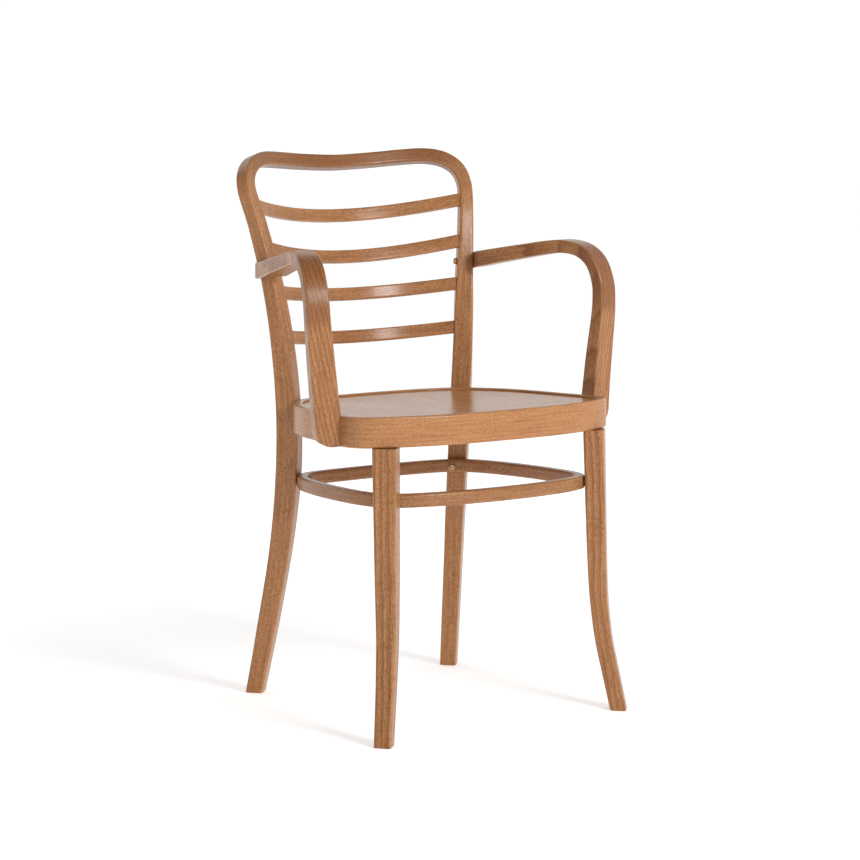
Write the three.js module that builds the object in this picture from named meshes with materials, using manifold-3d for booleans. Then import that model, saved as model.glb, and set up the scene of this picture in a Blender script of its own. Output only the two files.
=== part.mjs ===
// Bentwood armchair: one bent stick makes both rear legs, both uprights and the top rail.
// Units are millimetres, +Z is up, the sitter faces -Y and the floor is Z = 0.
import * as THREE from "three";
import { mergeVertices } from "three/addons/utils/BufferGeometryUtils.js";
import Module from "manifold-3d";

const wasm = await Module();
wasm.setup();
const { Manifold, Mesh: SolidMesh } = wasm;

// ---- shared driving dimensions ----
const GAP = 0.3;                    // clearance between pieces that touch
const EDGE_R = 3.2;                 // rounding of the long edges of the bent sticks

// ---- seat ring ----
const RING_TOP = 464;               // top edge of the ring above the front legs
const RING_H = 44;
const RING_W = 24;
const RING_SLOPE = 0.0245;          // the seat falls towards the back
const RING_REF_Y = -162;            // depth at which RING_TOP is measured
const REBATE_W = 10;
const REBATE_D = 8.5;
// half outline of the seat ring in plan, front centre to rear centre
const RING_OUTLINE = [
  [0, -198], [55, -197], [110, -190.5], [158, -178.5], [195, -164], [216.5, -148],
  [226, -125], [225, -94], [218.5, -56], [212.5, -14], [204, 32], [188.5, 78.5],
  [165, 117.5], [135, 145], [98, 158], [50, 164.5], [0, 166.5],
];

// ---- seat panel ----
const PANEL_T = 5;
const PANEL_DISH = 7;

// ---- stretcher ring ----
const STR_TOP = 352.5;
const STR_H = 20;
const STR_W = 16;
const STR_SLOPE = 0.025;
const STR_REF_Y = -180;
const STR_OUTLINE = [
  [0, -194], [60, -191], [115, -181.5], [152, -168.5], [173, -154], [186, -130],
  [192, -90], [191.5, -40], [187.5, 10], [179.5, 60], [166.5, 105], [144, 138.5],
  [112, 153], [60, 159], [0, 161],
];

// ---- back frame, right half, foot to rail centre ----
// [x, y, z, face width, depth, face turn deg, lean deg]
const FRAME_KEYS = [
  [179.5, 212.8, 0, 25.5, 26, 43, 0],
  [174.7, 202.5, 49, 26, 27, 43, 0],
  [170.3, 192.5, 97, 26.5, 28.5, 43, 0],
  [166.0, 182.7, 145, 27, 29.5, 43, 0],
  [162.1, 173.4, 192, 27.5, 30.3, 43, 0],
  [158.7, 165.3, 239, 28.5, 31.3, 42.5, 0],
  [156.4, 158.3, 286, 29.5, 32.3, 42, 0],
  [155.1, 152.8, 330, 30, 33.5, 41, 0],
  [154.9, 149.0, 375, 30, 33.8, 41, 0],
  [156.2, 147.0, 425, 30.3, 32.5, 40.5, 0],
  [158.7, 147.0, 470, 30.5, 31, 40, 0],
  [161.9, 149.2, 515, 30.5, 28.5, 35.5, 0],
  [167.2, 154.8, 575, 29, 25.2, 30, 0],
  [174.3, 163.6, 634, 25.5, 24, 25, 0],
  [182.0, 172.5, 680, 22.8, 23.4, 22, 0],
  [189.4, 182.3, 723, 21, 22.8, 20, 0],
  [195.0, 191.0, 752, 20.8, 22.6, 21, 6],
  [196.8, 197.8, 770, 20.8, 22.5, 23, 12],
  [193.8, 205.0, 786, 21, 22.5, 25, 16],
  [184.8, 213.5, 799, 21, 22.5, 26, 18],
  [168.5, 224.5, 808.3, 21, 22.5, 26, 19],
  [145, 237.5, 811.8, 21, 22.5, 22, 19],
  [110, 251.5, 810, 21, 22.5, 15, 19],
  [60, 263.5, 806, 21, 22.5, 8, 19],
  [0, 268.0, 803.5, 21, 22.5, 0, 19],
];
const FRAME_STEPS = 2;

// ---- back slats: [height at the ends, set back of the middle, fall of the middle] ----
const SLATS = [
  [744.5, 68, 22.5],
  [681.5, 55, 21.5],
  [616.3, 54, 13.0],
  [549.6, 54, 11.5],
];
const SLAT_H = 20;
const SLAT_T = 10;
const SLAT_R = 2.6;
const SLAT_TENON = 7;

// ---- front legs: [x, y, z, face width, depth, face turn deg] ----
const LEG_KEYS = [
  [209.1, -194.3, 0, 25, 23.8, 48],
  [205.5, -190.6, 22.6, 25.5, 24, 48],
  [199.0, -184.2, 63.7, 26.5, 24.2, 48],
  [193.0, -177.7, 105, 27.5, 24.8, 48],
  [189.0, -173.6, 147, 28.6, 25.6, 48],
  [187.0, -170.5, 189, 30, 27, 48],
  [185.8, -168.0, 246, 31.6, 28.4, 48],
  [184.7, -165.0, 331, 33, 29.3, 47.5],
  [183.9, -162.6, 402, 34.4, 30, 47],
  [183.5, -161.5, 432, 34.6, 30, 47],
];
const LEG_STEPS = 2;
const TENON_D = 15;
const TENON_L = 26;

// ---- arms ----
const ARM_FOOT = [239.5, -91.5, 464];     // centre of the arm where it passes the top of the seat ring
const ARM_TURN = 15.5;                    // the arm planes open towards the front, degrees
// [run towards the back, outward shift, height, inner half width, outer half width, thickness]
const ARM_KEYS = [
  [0, -3.8, 418, 19.5, 19.5, 26.5],
  [0, -3.5, 421, 19.5, 19.5, 26.5],
  [0, -3.0, 426, 19.5, 19.5, 26.5],
  [0, -2.4, 433, 19.5, 19.5, 26.5],
  [0, -1.8, 442, 19.5, 19.5, 26.5],
  [0, 0, 464, 19.3, 19.3, 26],
  [-1.5, 5.5, 520, 18.6, 18.6, 24],
  [-4, 10.5, 570, 18, 17.8, 21.5],
  [-4.5, 13, 600, 17.8, 17.3, 20],
  [-1.5, 14.3, 630, 17.6, 17, 19],
  [11.5, 15, 659, 17.4, 17, 18.6],
  [34, 14.6, 676, 17.2, 17, 18.8],
  [64, 13.4, 681.5, 17, 17, 19.6],
  [98, 11.2, 678.5, 16.2, 17, 20.6],
  [140, 8.4, 671.5, 14.5, 20, 21.4],
  [190, 4.6, 662.8, 12.5, 25, 22.8],
  [235, 1.2, 654.6, 11, 28, 24],
  [295, -3, 645.7, 10, 31.5, 24.5],
];
const ARM_STEPS = 2;
const ARM_END_R = 24;                     // rounding of the lower outer corner of each arm
const ARM_R = 3;

// ---- fasteners ----
const BOLT_D = 6;
const BOLT_HEAD_D = 10;
const BOLT_HEAD_H = 5.5;
const SCREW_D = 4.5;
const CUP_D = 13;
const CUP_H = 2.6;
const ARM_BOLT_Z = 649;
const LEG_BOLT_DROP = 23;                 // bolt height below the local top of the seat ring

// ---------- materials ----------
function mat(colour, roughness, metalness) {
  return new THREE.MeshStandardMaterial({ color: colour, roughness, metalness });
}

const wood = () => mat(0xb07c4e, 0.42, 0);
const seatWood = () => mat(0xbd8f66, 0.25, 0);
const brass = () => mat(0x9a6a3a, 0.35, 1);
const steel = () => mat(0x8d8f92, 0.4, 1);

// ---------- geometry helpers ----------
const rad = (deg) => THREE.MathUtils.degToRad(deg);

// Rounded rectangle as a loop of [a, b] pairs; a spans -a0..a1 and b spans -h..h.
function roundedLoop(a0, a1, half, radius, steps = 2) {
  const r = Math.min(radius, (a0 + a1) / 2 - 0.05, half - 0.05);
  const corners = [
    [a1 - r, half - r, 0], [-a0 + r, half - r, 90], [-a0 + r, -half + r, 180], [a1 - r, -half + r, 270],
  ];
  const loop = [];
  for (const [ca, cb, start] of corners) {
    for (let i = 0; i <= steps; i++) {
      const t = rad(start + (90 * i) / steps);
      loop.push([ca + r * Math.cos(t), cb + r * Math.sin(t)]);
    }
  }
  return loop;
}

// Joins loops of 3-D points into a closed skin; open runs get fan caps at both ends.
function skin(loops, closed) {
  const n = loops[0].length;
  const positions = [];
  for (const loop of loops) {
    for (const p of loop) positions.push(p.x, p.y, p.z);
  }
  const index = [];
  const spans = closed ? loops.length : loops.length - 1;
  for (let i = 0; i < spans; i++) {
    const a = i * n;
    const b = ((i + 1) % loops.length) * n;
    for (let j = 0; j < n; j++) {
      const k = (j + 1) % n;
      index.push(a + j, b + j, b + k, a + j, b + k, a + k);
    }
  }
  if (!closed) {
    for (const [first, flip] of [[0, false], [(loops.length - 1) * n, true]]) {
      const centre = new THREE.Vector3();
      for (let j = 0; j < n; j++) centre.add(new THREE.Vector3().fromArray(positions, (first + j) * 3));
      centre.divideScalar(n);
      const c = positions.length / 3;
      positions.push(centre.x, centre.y, centre.z);
      for (let j = 0; j < n; j++) {
        const k = (j + 1) % n;
        if (flip) index.push(c, first + k, first + j);
        else index.push(c, first + j, first + k);
      }
    }
  }
  const geometry = new THREE.BufferGeometry();
  geometry.setAttribute("position", new THREE.Float32BufferAttribute(positions, 3));
  geometry.setIndex(index);
  if (signedVolume(geometry) < 0) {
    for (let i = 0; i < index.length; i += 3) {
      const swap = index[i + 1];
      index[i + 1] = index[i + 2];
      index[i + 2] = swap;
    }
    geometry.setIndex(index);
  }
  return geometry;
}

function signedVolume(geometry) {
  const p = geometry.attributes.position;
  const ix = geometry.index.array;
  const [a, b, c] = [new THREE.Vector3(), new THREE.Vector3(), new THREE.Vector3()];
  let sum = 0;
  for (let i = 0; i < ix.length; i += 3) {
    a.fromBufferAttribute(p, ix[i]);
    b.fromBufferAttribute(p, ix[i + 1]);
    c.fromBufferAttribute(p, ix[i + 2]);
    sum += a.dot(b.cross(c));
  }
  return sum;
}

// A stick lofted through stations {p, face, loop}; face is the direction the front face looks.
function loft(stations, closed = false) {
  const last = stations.length - 1;
  const loops = stations.map((s, i) => {
    const before = closed ? stations[(i + last) % (last + 1)] : stations[Math.max(0, i - 1)];
    const after = closed ? stations[(i + 1) % (last + 1)] : stations[Math.min(last, i + 1)];
    const tangent = s.tangent ? s.tangent.clone() : after.p.clone().sub(before.p).normalize();
    const e1 = s.face.clone().addScaledVector(tangent, -s.face.dot(tangent)).normalize();
    const e2 = new THREE.Vector3().crossVectors(tangent, e1).normalize();
    return s.loop.map(([a, b]) => s.p.clone().addScaledVector(e2, a).addScaledVector(e1, b));
  });
  return skin(loops, closed);
}

// Smooth run through key rows; columns after x, y, z are blended linearly.
function runThrough(keys, steps) {
  const curve = new THREE.CatmullRomCurve3(keys.map((k) => new THREE.Vector3(k[0], k[1], k[2])));
  curve.curveType = "catmullrom";
  curve.tension = 0.5;
  const total = (keys.length - 1) * steps;
  const rows = [];
  for (let i = 0; i <= total; i++) {
    const u = i / total;
    const k = Math.min(keys.length - 2, Math.floor(i / steps));
    const f = i / steps - k;
    const rest = keys[k].slice(3).map((v, c) => v * (1 - f) + keys[k + 1][c + 3] * f);
    rows.push({ p: curve.getPoint(u), rest });
  }
  return rows;
}

const solidOf = (geometry) => {
  const g = geometry.clone();
  g.deleteAttribute("normal");
  g.deleteAttribute("uv");
  const m = mergeVertices(g, 1e-4);
  return new Manifold(new SolidMesh({
    numProp: 3,
    vertProperties: new Float32Array(m.attributes.position.array),
    triVerts: new Uint32Array(m.index.array),
  }));
};

function geometryOf(solid) {
  const m = solid.getMesh();
  const g = new THREE.BufferGeometry();
  const points = new Float32Array(m.numVert * 3);
  for (let i = 0; i < m.numVert; i++) {
    for (let k = 0; k < 3; k++) points[i * 3 + k] = m.vertProperties[i * m.numProp + k];
  }
  g.setAttribute("position", new THREE.BufferAttribute(points, 3));
  g.setIndex(Array.from(m.triVerts));
  return g;
}

function mesh(name, geometry, material) {
  const g = geometry.index ? geometry : mergeVertices(geometry);
  g.computeVertexNormals();
  const m = new THREE.Mesh(g, material);
  m.name = name;
  return m;
}

// Turned piece along an axis: profile is [radius, distance] pairs, closed on the axis.
function turned(profile, origin, axis, segments = 14) {
  const points = profile.map(([r, h]) => new THREE.Vector2(r, h));
  const g = new THREE.LatheGeometry(points, segments);
  g.deleteAttribute("normal");
  g.deleteAttribute("uv");
  const merged = mergeVertices(g, 1e-4);
  const kept = [];
  const ix = merged.index.array;
  for (let i = 0; i < ix.length; i += 3) {
    if (ix[i] !== ix[i + 1] && ix[i + 1] !== ix[i + 2] && ix[i] !== ix[i + 2]) {
      kept.push(ix[i], ix[i + 1], ix[i + 2]);
    }
  }
  merged.setIndex(kept);
  if (signedVolume(merged) < 0) {
    for (let i = 0; i < kept.length; i += 3) {
      const swap = kept[i + 1];
      kept[i + 1] = kept[i + 2];
      kept[i + 2] = swap;
    }
    merged.setIndex(kept);
  }
  const turn = new THREE.Quaternion();
  turn.setFromUnitVectors(new THREE.Vector3(0, 1, 0), axis.clone().normalize());
  merged.applyQuaternion(turn);
  merged.translate(origin.x, origin.y, origin.z);
  return merged;
}

const rod = (radius, from, to, origin, axis, segments = 14) =>
  turned([[0, from], [radius, from], [radius, to], [0, to]], origin, axis, segments);

// Big block whose face passes through origin; it fills the side the axis points to.
function halfSpace(origin, axis, size = 600) {
  const g = new THREE.BoxGeometry(size, size, size);
  g.translate(0, 0, size / 2);
  const turn = new THREE.Quaternion();
  turn.setFromUnitVectors(new THREE.Vector3(0, 0, 1), axis.clone().normalize());
  g.applyQuaternion(turn);
  g.translate(origin.x, origin.y, origin.z);
  return solidOf(g);
}

// ---------- shared curves ----------
const mirror = (v) => new THREE.Vector3(-v.x, v.y, v.z);
const ringTopAt = (y) => RING_TOP - RING_SLOPE * (y - RING_REF_Y);
const stretcherTopAt = (y) => STR_TOP - STR_SLOPE * (y - STR_REF_Y);

// Closed plan curve from half an outline, with the outward normal at every point.
function planLoop(half, count) {
  const right = half.map(([x, y]) => new THREE.Vector3(x, y, 0));
  const left = half.slice(1, -1).reverse().map(([x, y]) => new THREE.Vector3(-x, y, 0));
  const curve = new THREE.CatmullRomCurve3([...right, ...left], true, "catmullrom", 0.5);
  curve.arcLengthDivisions = 1600;
  const stations = [];
  for (let i = 0; i < count; i++) {
    const u = i / count;
    const p = curve.getPointAt(u);
    const t = curve.getTangentAt(u);
    stations.push({ p, t, out: new THREE.Vector3(t.y, -t.x, 0).normalize() });
  }
  return stations;
}

// Right half of the frame; the left half's keys are added so the rail stays smooth in the middle.
function frameRows() {
  const left = FRAME_KEYS.slice(0, -1).reverse().map(([x, ...rest]) => [-x, ...rest]);
  const whole = runThrough([...FRAME_KEYS, ...left], FRAME_STEPS);
  return whole.slice(0, (FRAME_KEYS.length - 1) * FRAME_STEPS + 1);
}

const FRAME_ROWS = frameRows();

// Centre of the right upright at a height, below the corner of the hoop.
function uprightAt(z) {
  for (let i = 0; i < FRAME_ROWS.length - 1; i++) {
    const a = FRAME_ROWS[i];
    const b = FRAME_ROWS[i + 1];
    if (a.p.z <= z && b.p.z > z) {
      const f = (z - a.p.z) / (b.p.z - a.p.z);
      return {
        p: a.p.clone().lerp(b.p, f),
        tangent: b.p.clone().sub(a.p).normalize(),
        rest: a.rest.map((v, c) => v * (1 - f) + b.rest[c] * f),
      };
    }
  }
  throw new Error("height outside the upright");
}

function faceDirection(turn, lean) {
  return new THREE.Vector3(
    -Math.sin(rad(turn)) * Math.cos(rad(lean)),
    -Math.cos(rad(turn)) * Math.cos(rad(lean)),
    Math.sin(rad(lean)),
  );
}

// ---------- back frame ----------
function frameLoft(grow) {
  const right = FRAME_ROWS.map(({ p, rest }) => {
    const [w, d, turn, lean] = rest;
    return {
      p: p.clone(),
      face: faceDirection(turn, lean),
      loop: roundedLoop(w / 2 + grow, w / 2 + grow, d / 2 + grow, EDGE_R + grow),
    };
  });
  const left = right.slice(0, -1).reverse().map((s) => ({
    p: mirror(s.p),
    face: mirror(s.face),
    loop: s.loop,
  }));
  const all = [...right, ...left];
  const centre = right.length - 1;
  all[centre].tangent = new THREE.Vector3(-1, 0, 0);
  // the feet are cut level with the floor
  for (const end of [0, all.length - 1]) all[end].tangent = new THREE.Vector3(0, 0, end === 0 ? 1 : -1);
  return solidOf(loft(all));
}

// ---------- slats ----------
function slatStations([ze, back, fall], grow) {
  const upright = uprightAt(ze).p;
  const half = upright.x - 10;
  const reach = upright.x - 10 + SLAT_TENON + grow;
  const count = 16;
  const stations = [];
  for (let i = 0; i <= count; i++) {
    const x = -reach + (2 * reach * i) / count;
    const q = 1 - (x / half) ** 2;
    const slope = (-2 * x) / half ** 2;
    stations.push({
      p: new THREE.Vector3(x, upright.y + back * q, ze - fall * q),
      tangent: new THREE.Vector3(1, back * slope, -fall * slope).normalize(),
      face: new THREE.Vector3(0, -back, fall).normalize(),
      loop: roundedLoop(SLAT_H / 2 + grow, SLAT_H / 2 + grow, SLAT_T / 2 + grow, SLAT_R + grow),
    });
  }
  return stations;
}

// ---------- seat ring ----------
const RING_STATIONS = planLoop(RING_OUTLINE, 72);

function ringSection(grow) {
  const r = 3.5;
  const w = RING_W;
  const bottom = -RING_H - grow;
  if (grow > 0) return [[grow, bottom], [grow, grow], [-w, grow], [-w, bottom]];
  return [
    [0, -r], [-r * 0.3, -r * 0.3], [-r, 0], [-(w - REBATE_W), 0],
    [-(w - REBATE_W), -REBATE_D], [-w, -REBATE_D], [-w, bottom + 1.5], [-w + 1.5, bottom],
    [-r, bottom], [-r * 0.3, bottom + r * 0.3], [0, bottom + r],
  ];
}

// A section of [outward, up] pairs swept round a closed plan curve under a sloping top.
function sweepRing(stations, section, topAt) {
  const loops = stations.map((s) => section.map(([a, b]) => {
    const p = s.p.clone().addScaledVector(s.out, a);
    p.z = topAt(p.y) + b;
    return p;
  }));
  return solidOf(skin(loops, true));
}

const insetPoint = (s, d) => s.p.clone().addScaledVector(s.out, -d);

// ---------- seat panel ----------
function seatPanel() {
  const edge = RING_W - REBATE_W + GAP;
  const flat = 0.93;
  const rings = [1, flat, 0.8, 0.6, 0.35];
  const centre = new THREE.Vector3(0, -16, 0);
  const bed = REBATE_D - GAP;
  const at = (s, f, level) => {
    const p = centre.clone().lerp(insetPoint(s, edge), f);
    const dish = PANEL_DISH * (1 - Math.min(1, f / flat) ** 2);
    p.z = ringTopAt(p.y) - bed + level - dish;
    return p;
  };
  const loops = [];
  for (const f of [...rings].reverse()) loops.push(RING_STATIONS.map((s) => at(s, f, 0)));
  for (const f of rings) loops.push(RING_STATIONS.map((s) => at(s, f, PANEL_T)));
  return solidOf(skin(loops, false));
}

// ---------- stretcher ring ----------
const STR_STATIONS = planLoop(STR_OUTLINE, 64);

function stretcherSolid() {
  const loop = roundedLoop(STR_W, 0, STR_H / 2, 4).map(([a, b]) => [a, b - STR_H / 2]);
  return sweepRing(STR_STATIONS, loop, stretcherTopAt);
}

// ---------- front legs ----------
function legStations(grow) {
  const rows = runThrough(LEG_KEYS, LEG_STEPS);
  const stations = rows.map(({ p, rest }) => {
    const [w, d, turn] = rest;
    return {
      p,
      face: new THREE.Vector3(Math.sin(rad(turn)), -Math.cos(rad(turn)), 0),
      loop: roundedLoop(w / 2 + grow, w / 2 + grow, d / 2 + grow, EDGE_R + grow),
    };
  });
  stations[0].tangent = new THREE.Vector3(0, 0, 1);
  return stations;
}

const SEAT_UP = new THREE.Vector3(0, RING_SLOPE, 1).normalize();
const TENON_AT = new THREE.Vector3(180.6, -158.8, 0);
const underRing = (y, drop) => ringTopAt(y) - RING_H - drop;

function frontLeg() {
  const under = new THREE.Vector3(0, TENON_AT.y, underRing(TENON_AT.y, GAP));
  const stick = solidOf(loft(legStations(0))).subtract(halfSpace(under, SEAT_UP));
  const base = new THREE.Vector3(TENON_AT.x, TENON_AT.y, under.z);
  return stick.add(solidOf(rod(TENON_D / 2, -3, TENON_L, base, new THREE.Vector3(0, 0, 1), 24)));
}

function tenonHole() {
  const base = new THREE.Vector3(TENON_AT.x, TENON_AT.y, underRing(TENON_AT.y, GAP));
  const up = new THREE.Vector3(0, 0, 1);
  return solidOf(rod(TENON_D / 2 + GAP, -6, TENON_L + GAP, base, up, 24));
}

// ---------- arms ----------
const ARM_OUT = new THREE.Vector3(Math.cos(rad(ARM_TURN)), Math.sin(rad(ARM_TURN)), 0);
const ARM_BACK = new THREE.Vector3(-Math.sin(rad(ARM_TURN)), Math.cos(rad(ARM_TURN)), 0);

function armSolid() {
  const foot = new THREE.Vector3(ARM_FOOT[0], ARM_FOOT[1], 0);
  const keys = ARM_KEYS.map(([run, out, z, ...rest]) => {
    const p = foot.clone().addScaledVector(ARM_BACK, run).addScaledVector(ARM_OUT, out);
    return [p.x, p.y, z, ...rest];
  });
  const rows = runThrough(keys, ARM_STEPS);
  const stations = rows.map(({ p, rest }, i) => {
    const [inner, outer, thick] = rest;
    const a = rows[Math.max(0, i - 1)].p;
    const b = rows[Math.min(rows.length - 1, i + 1)].p;
    const tangent = b.clone().sub(a).normalize();
    // the upper (front) face looks away from the sitter's lap
    const face = new THREE.Vector3().crossVectors(tangent, ARM_OUT).normalize();
    const low = Math.max(0, ARM_KEYS[0][2] + ARM_END_R - p.z);
    const cut = ARM_END_R - Math.sqrt(Math.max(0, ARM_END_R ** 2 - low ** 2));
    return { p, tangent, face, loop: roundedLoop(outer - cut, inner, thick / 2, ARM_R) };
  });
  return solidOf(loft(stations));
}

// Outer side of the right upright, where the arm is let against it.
function armSeat() {
  const u = uprightAt(ARM_BOLT_Z);
  const turn = u.rest[2];
  const out = new THREE.Vector3(Math.cos(rad(turn)), -Math.sin(rad(turn)), 0);
  out.addScaledVector(u.tangent, -out.dot(u.tangent)).normalize();
  return { centre: u.p, out, half: u.rest[0] / 2 };
}

// ---------- fasteners ----------
function domedBolt(origin, axis, shank, headD, headH, shankD) {
  const r = headD / 2;
  const profile = [
    [0, -shank], [shankD / 2, -shank], [shankD / 2, 0], [r, 0], [r, headH * 0.45],
    [r * 0.86, headH * 0.78], [r * 0.55, headH * 0.95], [0, headH],
  ];
  return turned(profile, origin, axis);
}

function socketScrew(origin, axis, shank) {
  const profile = [
    [0, -shank], [SCREW_D / 2, -shank], [SCREW_D / 2, -0.4], [3.6, 0.2], [3.9, 1.6],
    [3.1, 2.6], [1.7, 2.9], [1.7, 1.2], [0, 1.2],
  ];
  return turned(profile, origin, axis);
}

function cupWasher(origin, axis) {
  const inner = SCREW_D / 2 + GAP;
  const profile = [
    [inner, -CUP_H], [CUP_D / 2, -CUP_H], [CUP_D / 2 - 0.6, -CUP_H + 1.0],
    [4.6, 0.1], [4.3, -0.1], [inner, -0.1 - 0.6], [inner, -CUP_H],
  ];
  return turned(profile, origin, axis);
}

// ---------- assembly ----------
const chair = new THREE.Group();
chair.name = "bentwood_armchair";

let frame = frameLoft(0);
const fatFrame = frameLoft(GAP);
const slatSolids = [];
for (const slat of SLATS) {
  slatSolids.push(solidOf(loft(slatStations(slat, 0))));
  frame = frame.subtract(solidOf(loft(slatStations(slat, GAP))));
}

const fatLeg = solidOf(loft(legStations(GAP)));
const toLeft = (solid) => solid.mirror([1, 0, 0]);
let leftLeg = toLeft(frontLeg());
let rightLeg = frontLeg();

let ring = sweepRing(RING_STATIONS, ringSection(0), ringTopAt).subtract(fatFrame);
const ringBody = sweepRing(RING_STATIONS, ringSection(GAP), ringTopAt);
ring = ring.subtract(tenonHole()).subtract(toLeft(tenonHole()));

let stretcher = stretcherSolid().subtract(fatFrame).subtract(fatLeg).subtract(toLeft(fatLeg));

const seat = armSeat();
const armBed = seat.centre.clone().addScaledVector(seat.out, seat.half + GAP);
const armCut = halfSpace(armBed, seat.out.clone().negate(), 110);
let rightArm = armSolid().subtract(armCut).subtract(fatFrame).subtract(ringBody);

const fasteners = [];

function addFastener(name, geometry, material) {
  fasteners.push([`${name}_right`, geometry, material]);
  fasteners.push([`${name}_left`, geometryOf(toLeft(solidOf(geometry))), material]);
}

// arm bolt: domed head on the inner side of the upright, shank into the arm
const boltHead = seat.centre.clone().addScaledVector(seat.out, -seat.half - GAP);
const inward = seat.out.clone().negate();
addFastener("arm_bolt", domedBolt(boltHead, inward, 36, BOLT_HEAD_D, BOLT_HEAD_H, BOLT_D), brass());
const boltBore = solidOf(rod(BOLT_D / 2 + GAP, -36 - GAP, 12, boltHead, inward));
frame = frame.subtract(boltBore).subtract(toLeft(boltBore));
rightArm = rightArm.subtract(boltBore);

// bolts through the seat ring into the rear legs and into the lower ends of the arms
function ringBolt(name, stationTest, depthIn) {
  let best = RING_STATIONS[0];
  for (const s of RING_STATIONS) if (stationTest(s) < stationTest(best)) best = s;
  const axis = best.out.clone().negate();
  const origin = insetPoint(best, RING_W + 1.5 + GAP * 2);
  origin.z = ringTopAt(best.p.y) - LEG_BOLT_DROP;
  const washer = turned([
    [BOLT_D / 2 + GAP, -1.5 - GAP], [9, -1.5 - GAP], [9, -GAP],
    [BOLT_D / 2 + GAP, -GAP], [BOLT_D / 2 + GAP, -1.5 - GAP],
  ], origin, axis);
  const shank = RING_W + 1.5 + depthIn;
  addFastener(`${name}_bolt`, domedBolt(origin, axis, shank, BOLT_HEAD_D, BOLT_HEAD_H, BOLT_D), steel());
  addFastener(`${name}_washer`, washer, steel());
  // the washer beds on a small flat cut in the curved wood
  const flat = solidOf(rod(9 + GAP, -1.5 - 2 * GAP, 12, origin, axis));
  return { bore: solidOf(rod(BOLT_D / 2 + GAP, -shank - GAP, 12, origin, axis)), flat };
}

const legBore = ringBolt("rear_leg", (s) => s.p.distanceTo(new THREE.Vector3(146, 135.5, 0)), 18);
frame = frame.subtract(legBore.bore).subtract(toLeft(legBore.bore));
const armBore = ringBolt("arm_lower", (s) => s.p.distanceTo(new THREE.Vector3(221, -86, 0)), 16);
rightArm = rightArm.subtract(armBore.bore);
for (const cut of [legBore.bore, legBore.flat, armBore.bore, armBore.flat]) {
  ring = ring.subtract(cut).subtract(toLeft(cut));
}

// screws with cup washers from inside the stretcher ring into the four legs
function stretcherScrew(name, target, leg) {
  let best = STR_STATIONS[0];
  for (const s of STR_STATIONS) if (s.p.distanceTo(target) < best.p.distanceTo(target)) best = s;
  const axis = best.out.clone().negate();
  const origin = insetPoint(best, STR_W + CUP_H + GAP);
  origin.z = stretcherTopAt(best.p.y) - STR_H / 2;
  addFastener(`${name}_screw`, socketScrew(origin, axis, STR_W + 16), brass());
  addFastener(`${name}_cup`, cupWasher(origin, axis), brass());
  const flat = solidOf(rod(CUP_D / 2 + GAP, -CUP_H - GAP, 8, origin, axis));
  return { bore: solidOf(rod(SCREW_D / 2 + GAP, -STR_W - 16 - GAP, 8, origin, axis)), flat };
}

const rearScrew = stretcherScrew("stretcher_rear", new THREE.Vector3(144, 138.5, 0));
const frontScrew = stretcherScrew("stretcher_front", new THREE.Vector3(173, -154, 0));
for (const cut of [rearScrew.bore, rearScrew.flat, frontScrew.bore, frontScrew.flat]) {
  stretcher = stretcher.subtract(cut).subtract(toLeft(cut));
}
frame = frame.subtract(rearScrew.bore).subtract(toLeft(rearScrew.bore));
rightLeg = rightLeg.subtract(frontScrew.bore);
leftLeg = leftLeg.subtract(toLeft(frontScrew.bore));

chair.add(mesh("back_frame", geometryOf(frame), wood()));
slatSolids.forEach((s, i) => chair.add(mesh(`back_slat_${i + 1}`, geometryOf(s), wood())));
chair.add(mesh("seat_ring", geometryOf(ring), wood()));
chair.add(mesh("seat_panel", geometryOf(seatPanel()), seatWood()));
chair.add(mesh("front_leg_left", geometryOf(leftLeg), wood()));
chair.add(mesh("front_leg_right", geometryOf(rightLeg), wood()));
chair.add(mesh("stretcher_ring", geometryOf(stretcher), wood()));
chair.add(mesh("arm_left", geometryOf(toLeft(rightArm)), wood()));
chair.add(mesh("arm_right", geometryOf(rightArm), wood()));
for (const [name, geometry, material] of fasteners) chair.add(mesh(name, geometry, material));

// the origin is the middle of the chair's footprint box, on the floor
const box = new THREE.Box3().setFromObject(chair);
chair.position.y = -(box.min.y + box.max.y) / 2;

export default chair;
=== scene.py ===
import math

import bmesh
import bpy
import numpy as np
from bpy.props import FloatProperty, FloatVectorProperty, PointerProperty
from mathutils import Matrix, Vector


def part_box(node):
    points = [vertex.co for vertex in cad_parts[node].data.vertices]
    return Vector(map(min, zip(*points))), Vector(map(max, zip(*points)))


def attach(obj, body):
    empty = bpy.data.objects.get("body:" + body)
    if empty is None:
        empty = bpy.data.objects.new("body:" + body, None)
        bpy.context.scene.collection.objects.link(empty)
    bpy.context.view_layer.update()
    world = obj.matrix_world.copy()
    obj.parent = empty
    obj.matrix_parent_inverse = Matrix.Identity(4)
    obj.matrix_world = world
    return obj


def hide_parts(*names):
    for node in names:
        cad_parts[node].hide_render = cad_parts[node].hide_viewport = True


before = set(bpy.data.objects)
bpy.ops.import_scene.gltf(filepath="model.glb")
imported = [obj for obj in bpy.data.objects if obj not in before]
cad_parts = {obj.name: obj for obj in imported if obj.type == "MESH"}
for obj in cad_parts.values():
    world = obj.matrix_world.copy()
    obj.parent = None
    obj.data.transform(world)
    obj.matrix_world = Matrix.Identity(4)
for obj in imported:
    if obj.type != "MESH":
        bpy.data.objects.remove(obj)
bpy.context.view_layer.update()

bl_info = {
    "name": "Bentwood armchair",
    "version": (1, 0, 0),
    "blender": (4, 5, 0),
    "location": "View3D > Sidebar > Armchair",
    "description": "Builds a bentwood armchair with a ladder back from bent, stained beech sticks",
    "category": "Add Mesh",
}

MM = 0.001
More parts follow.
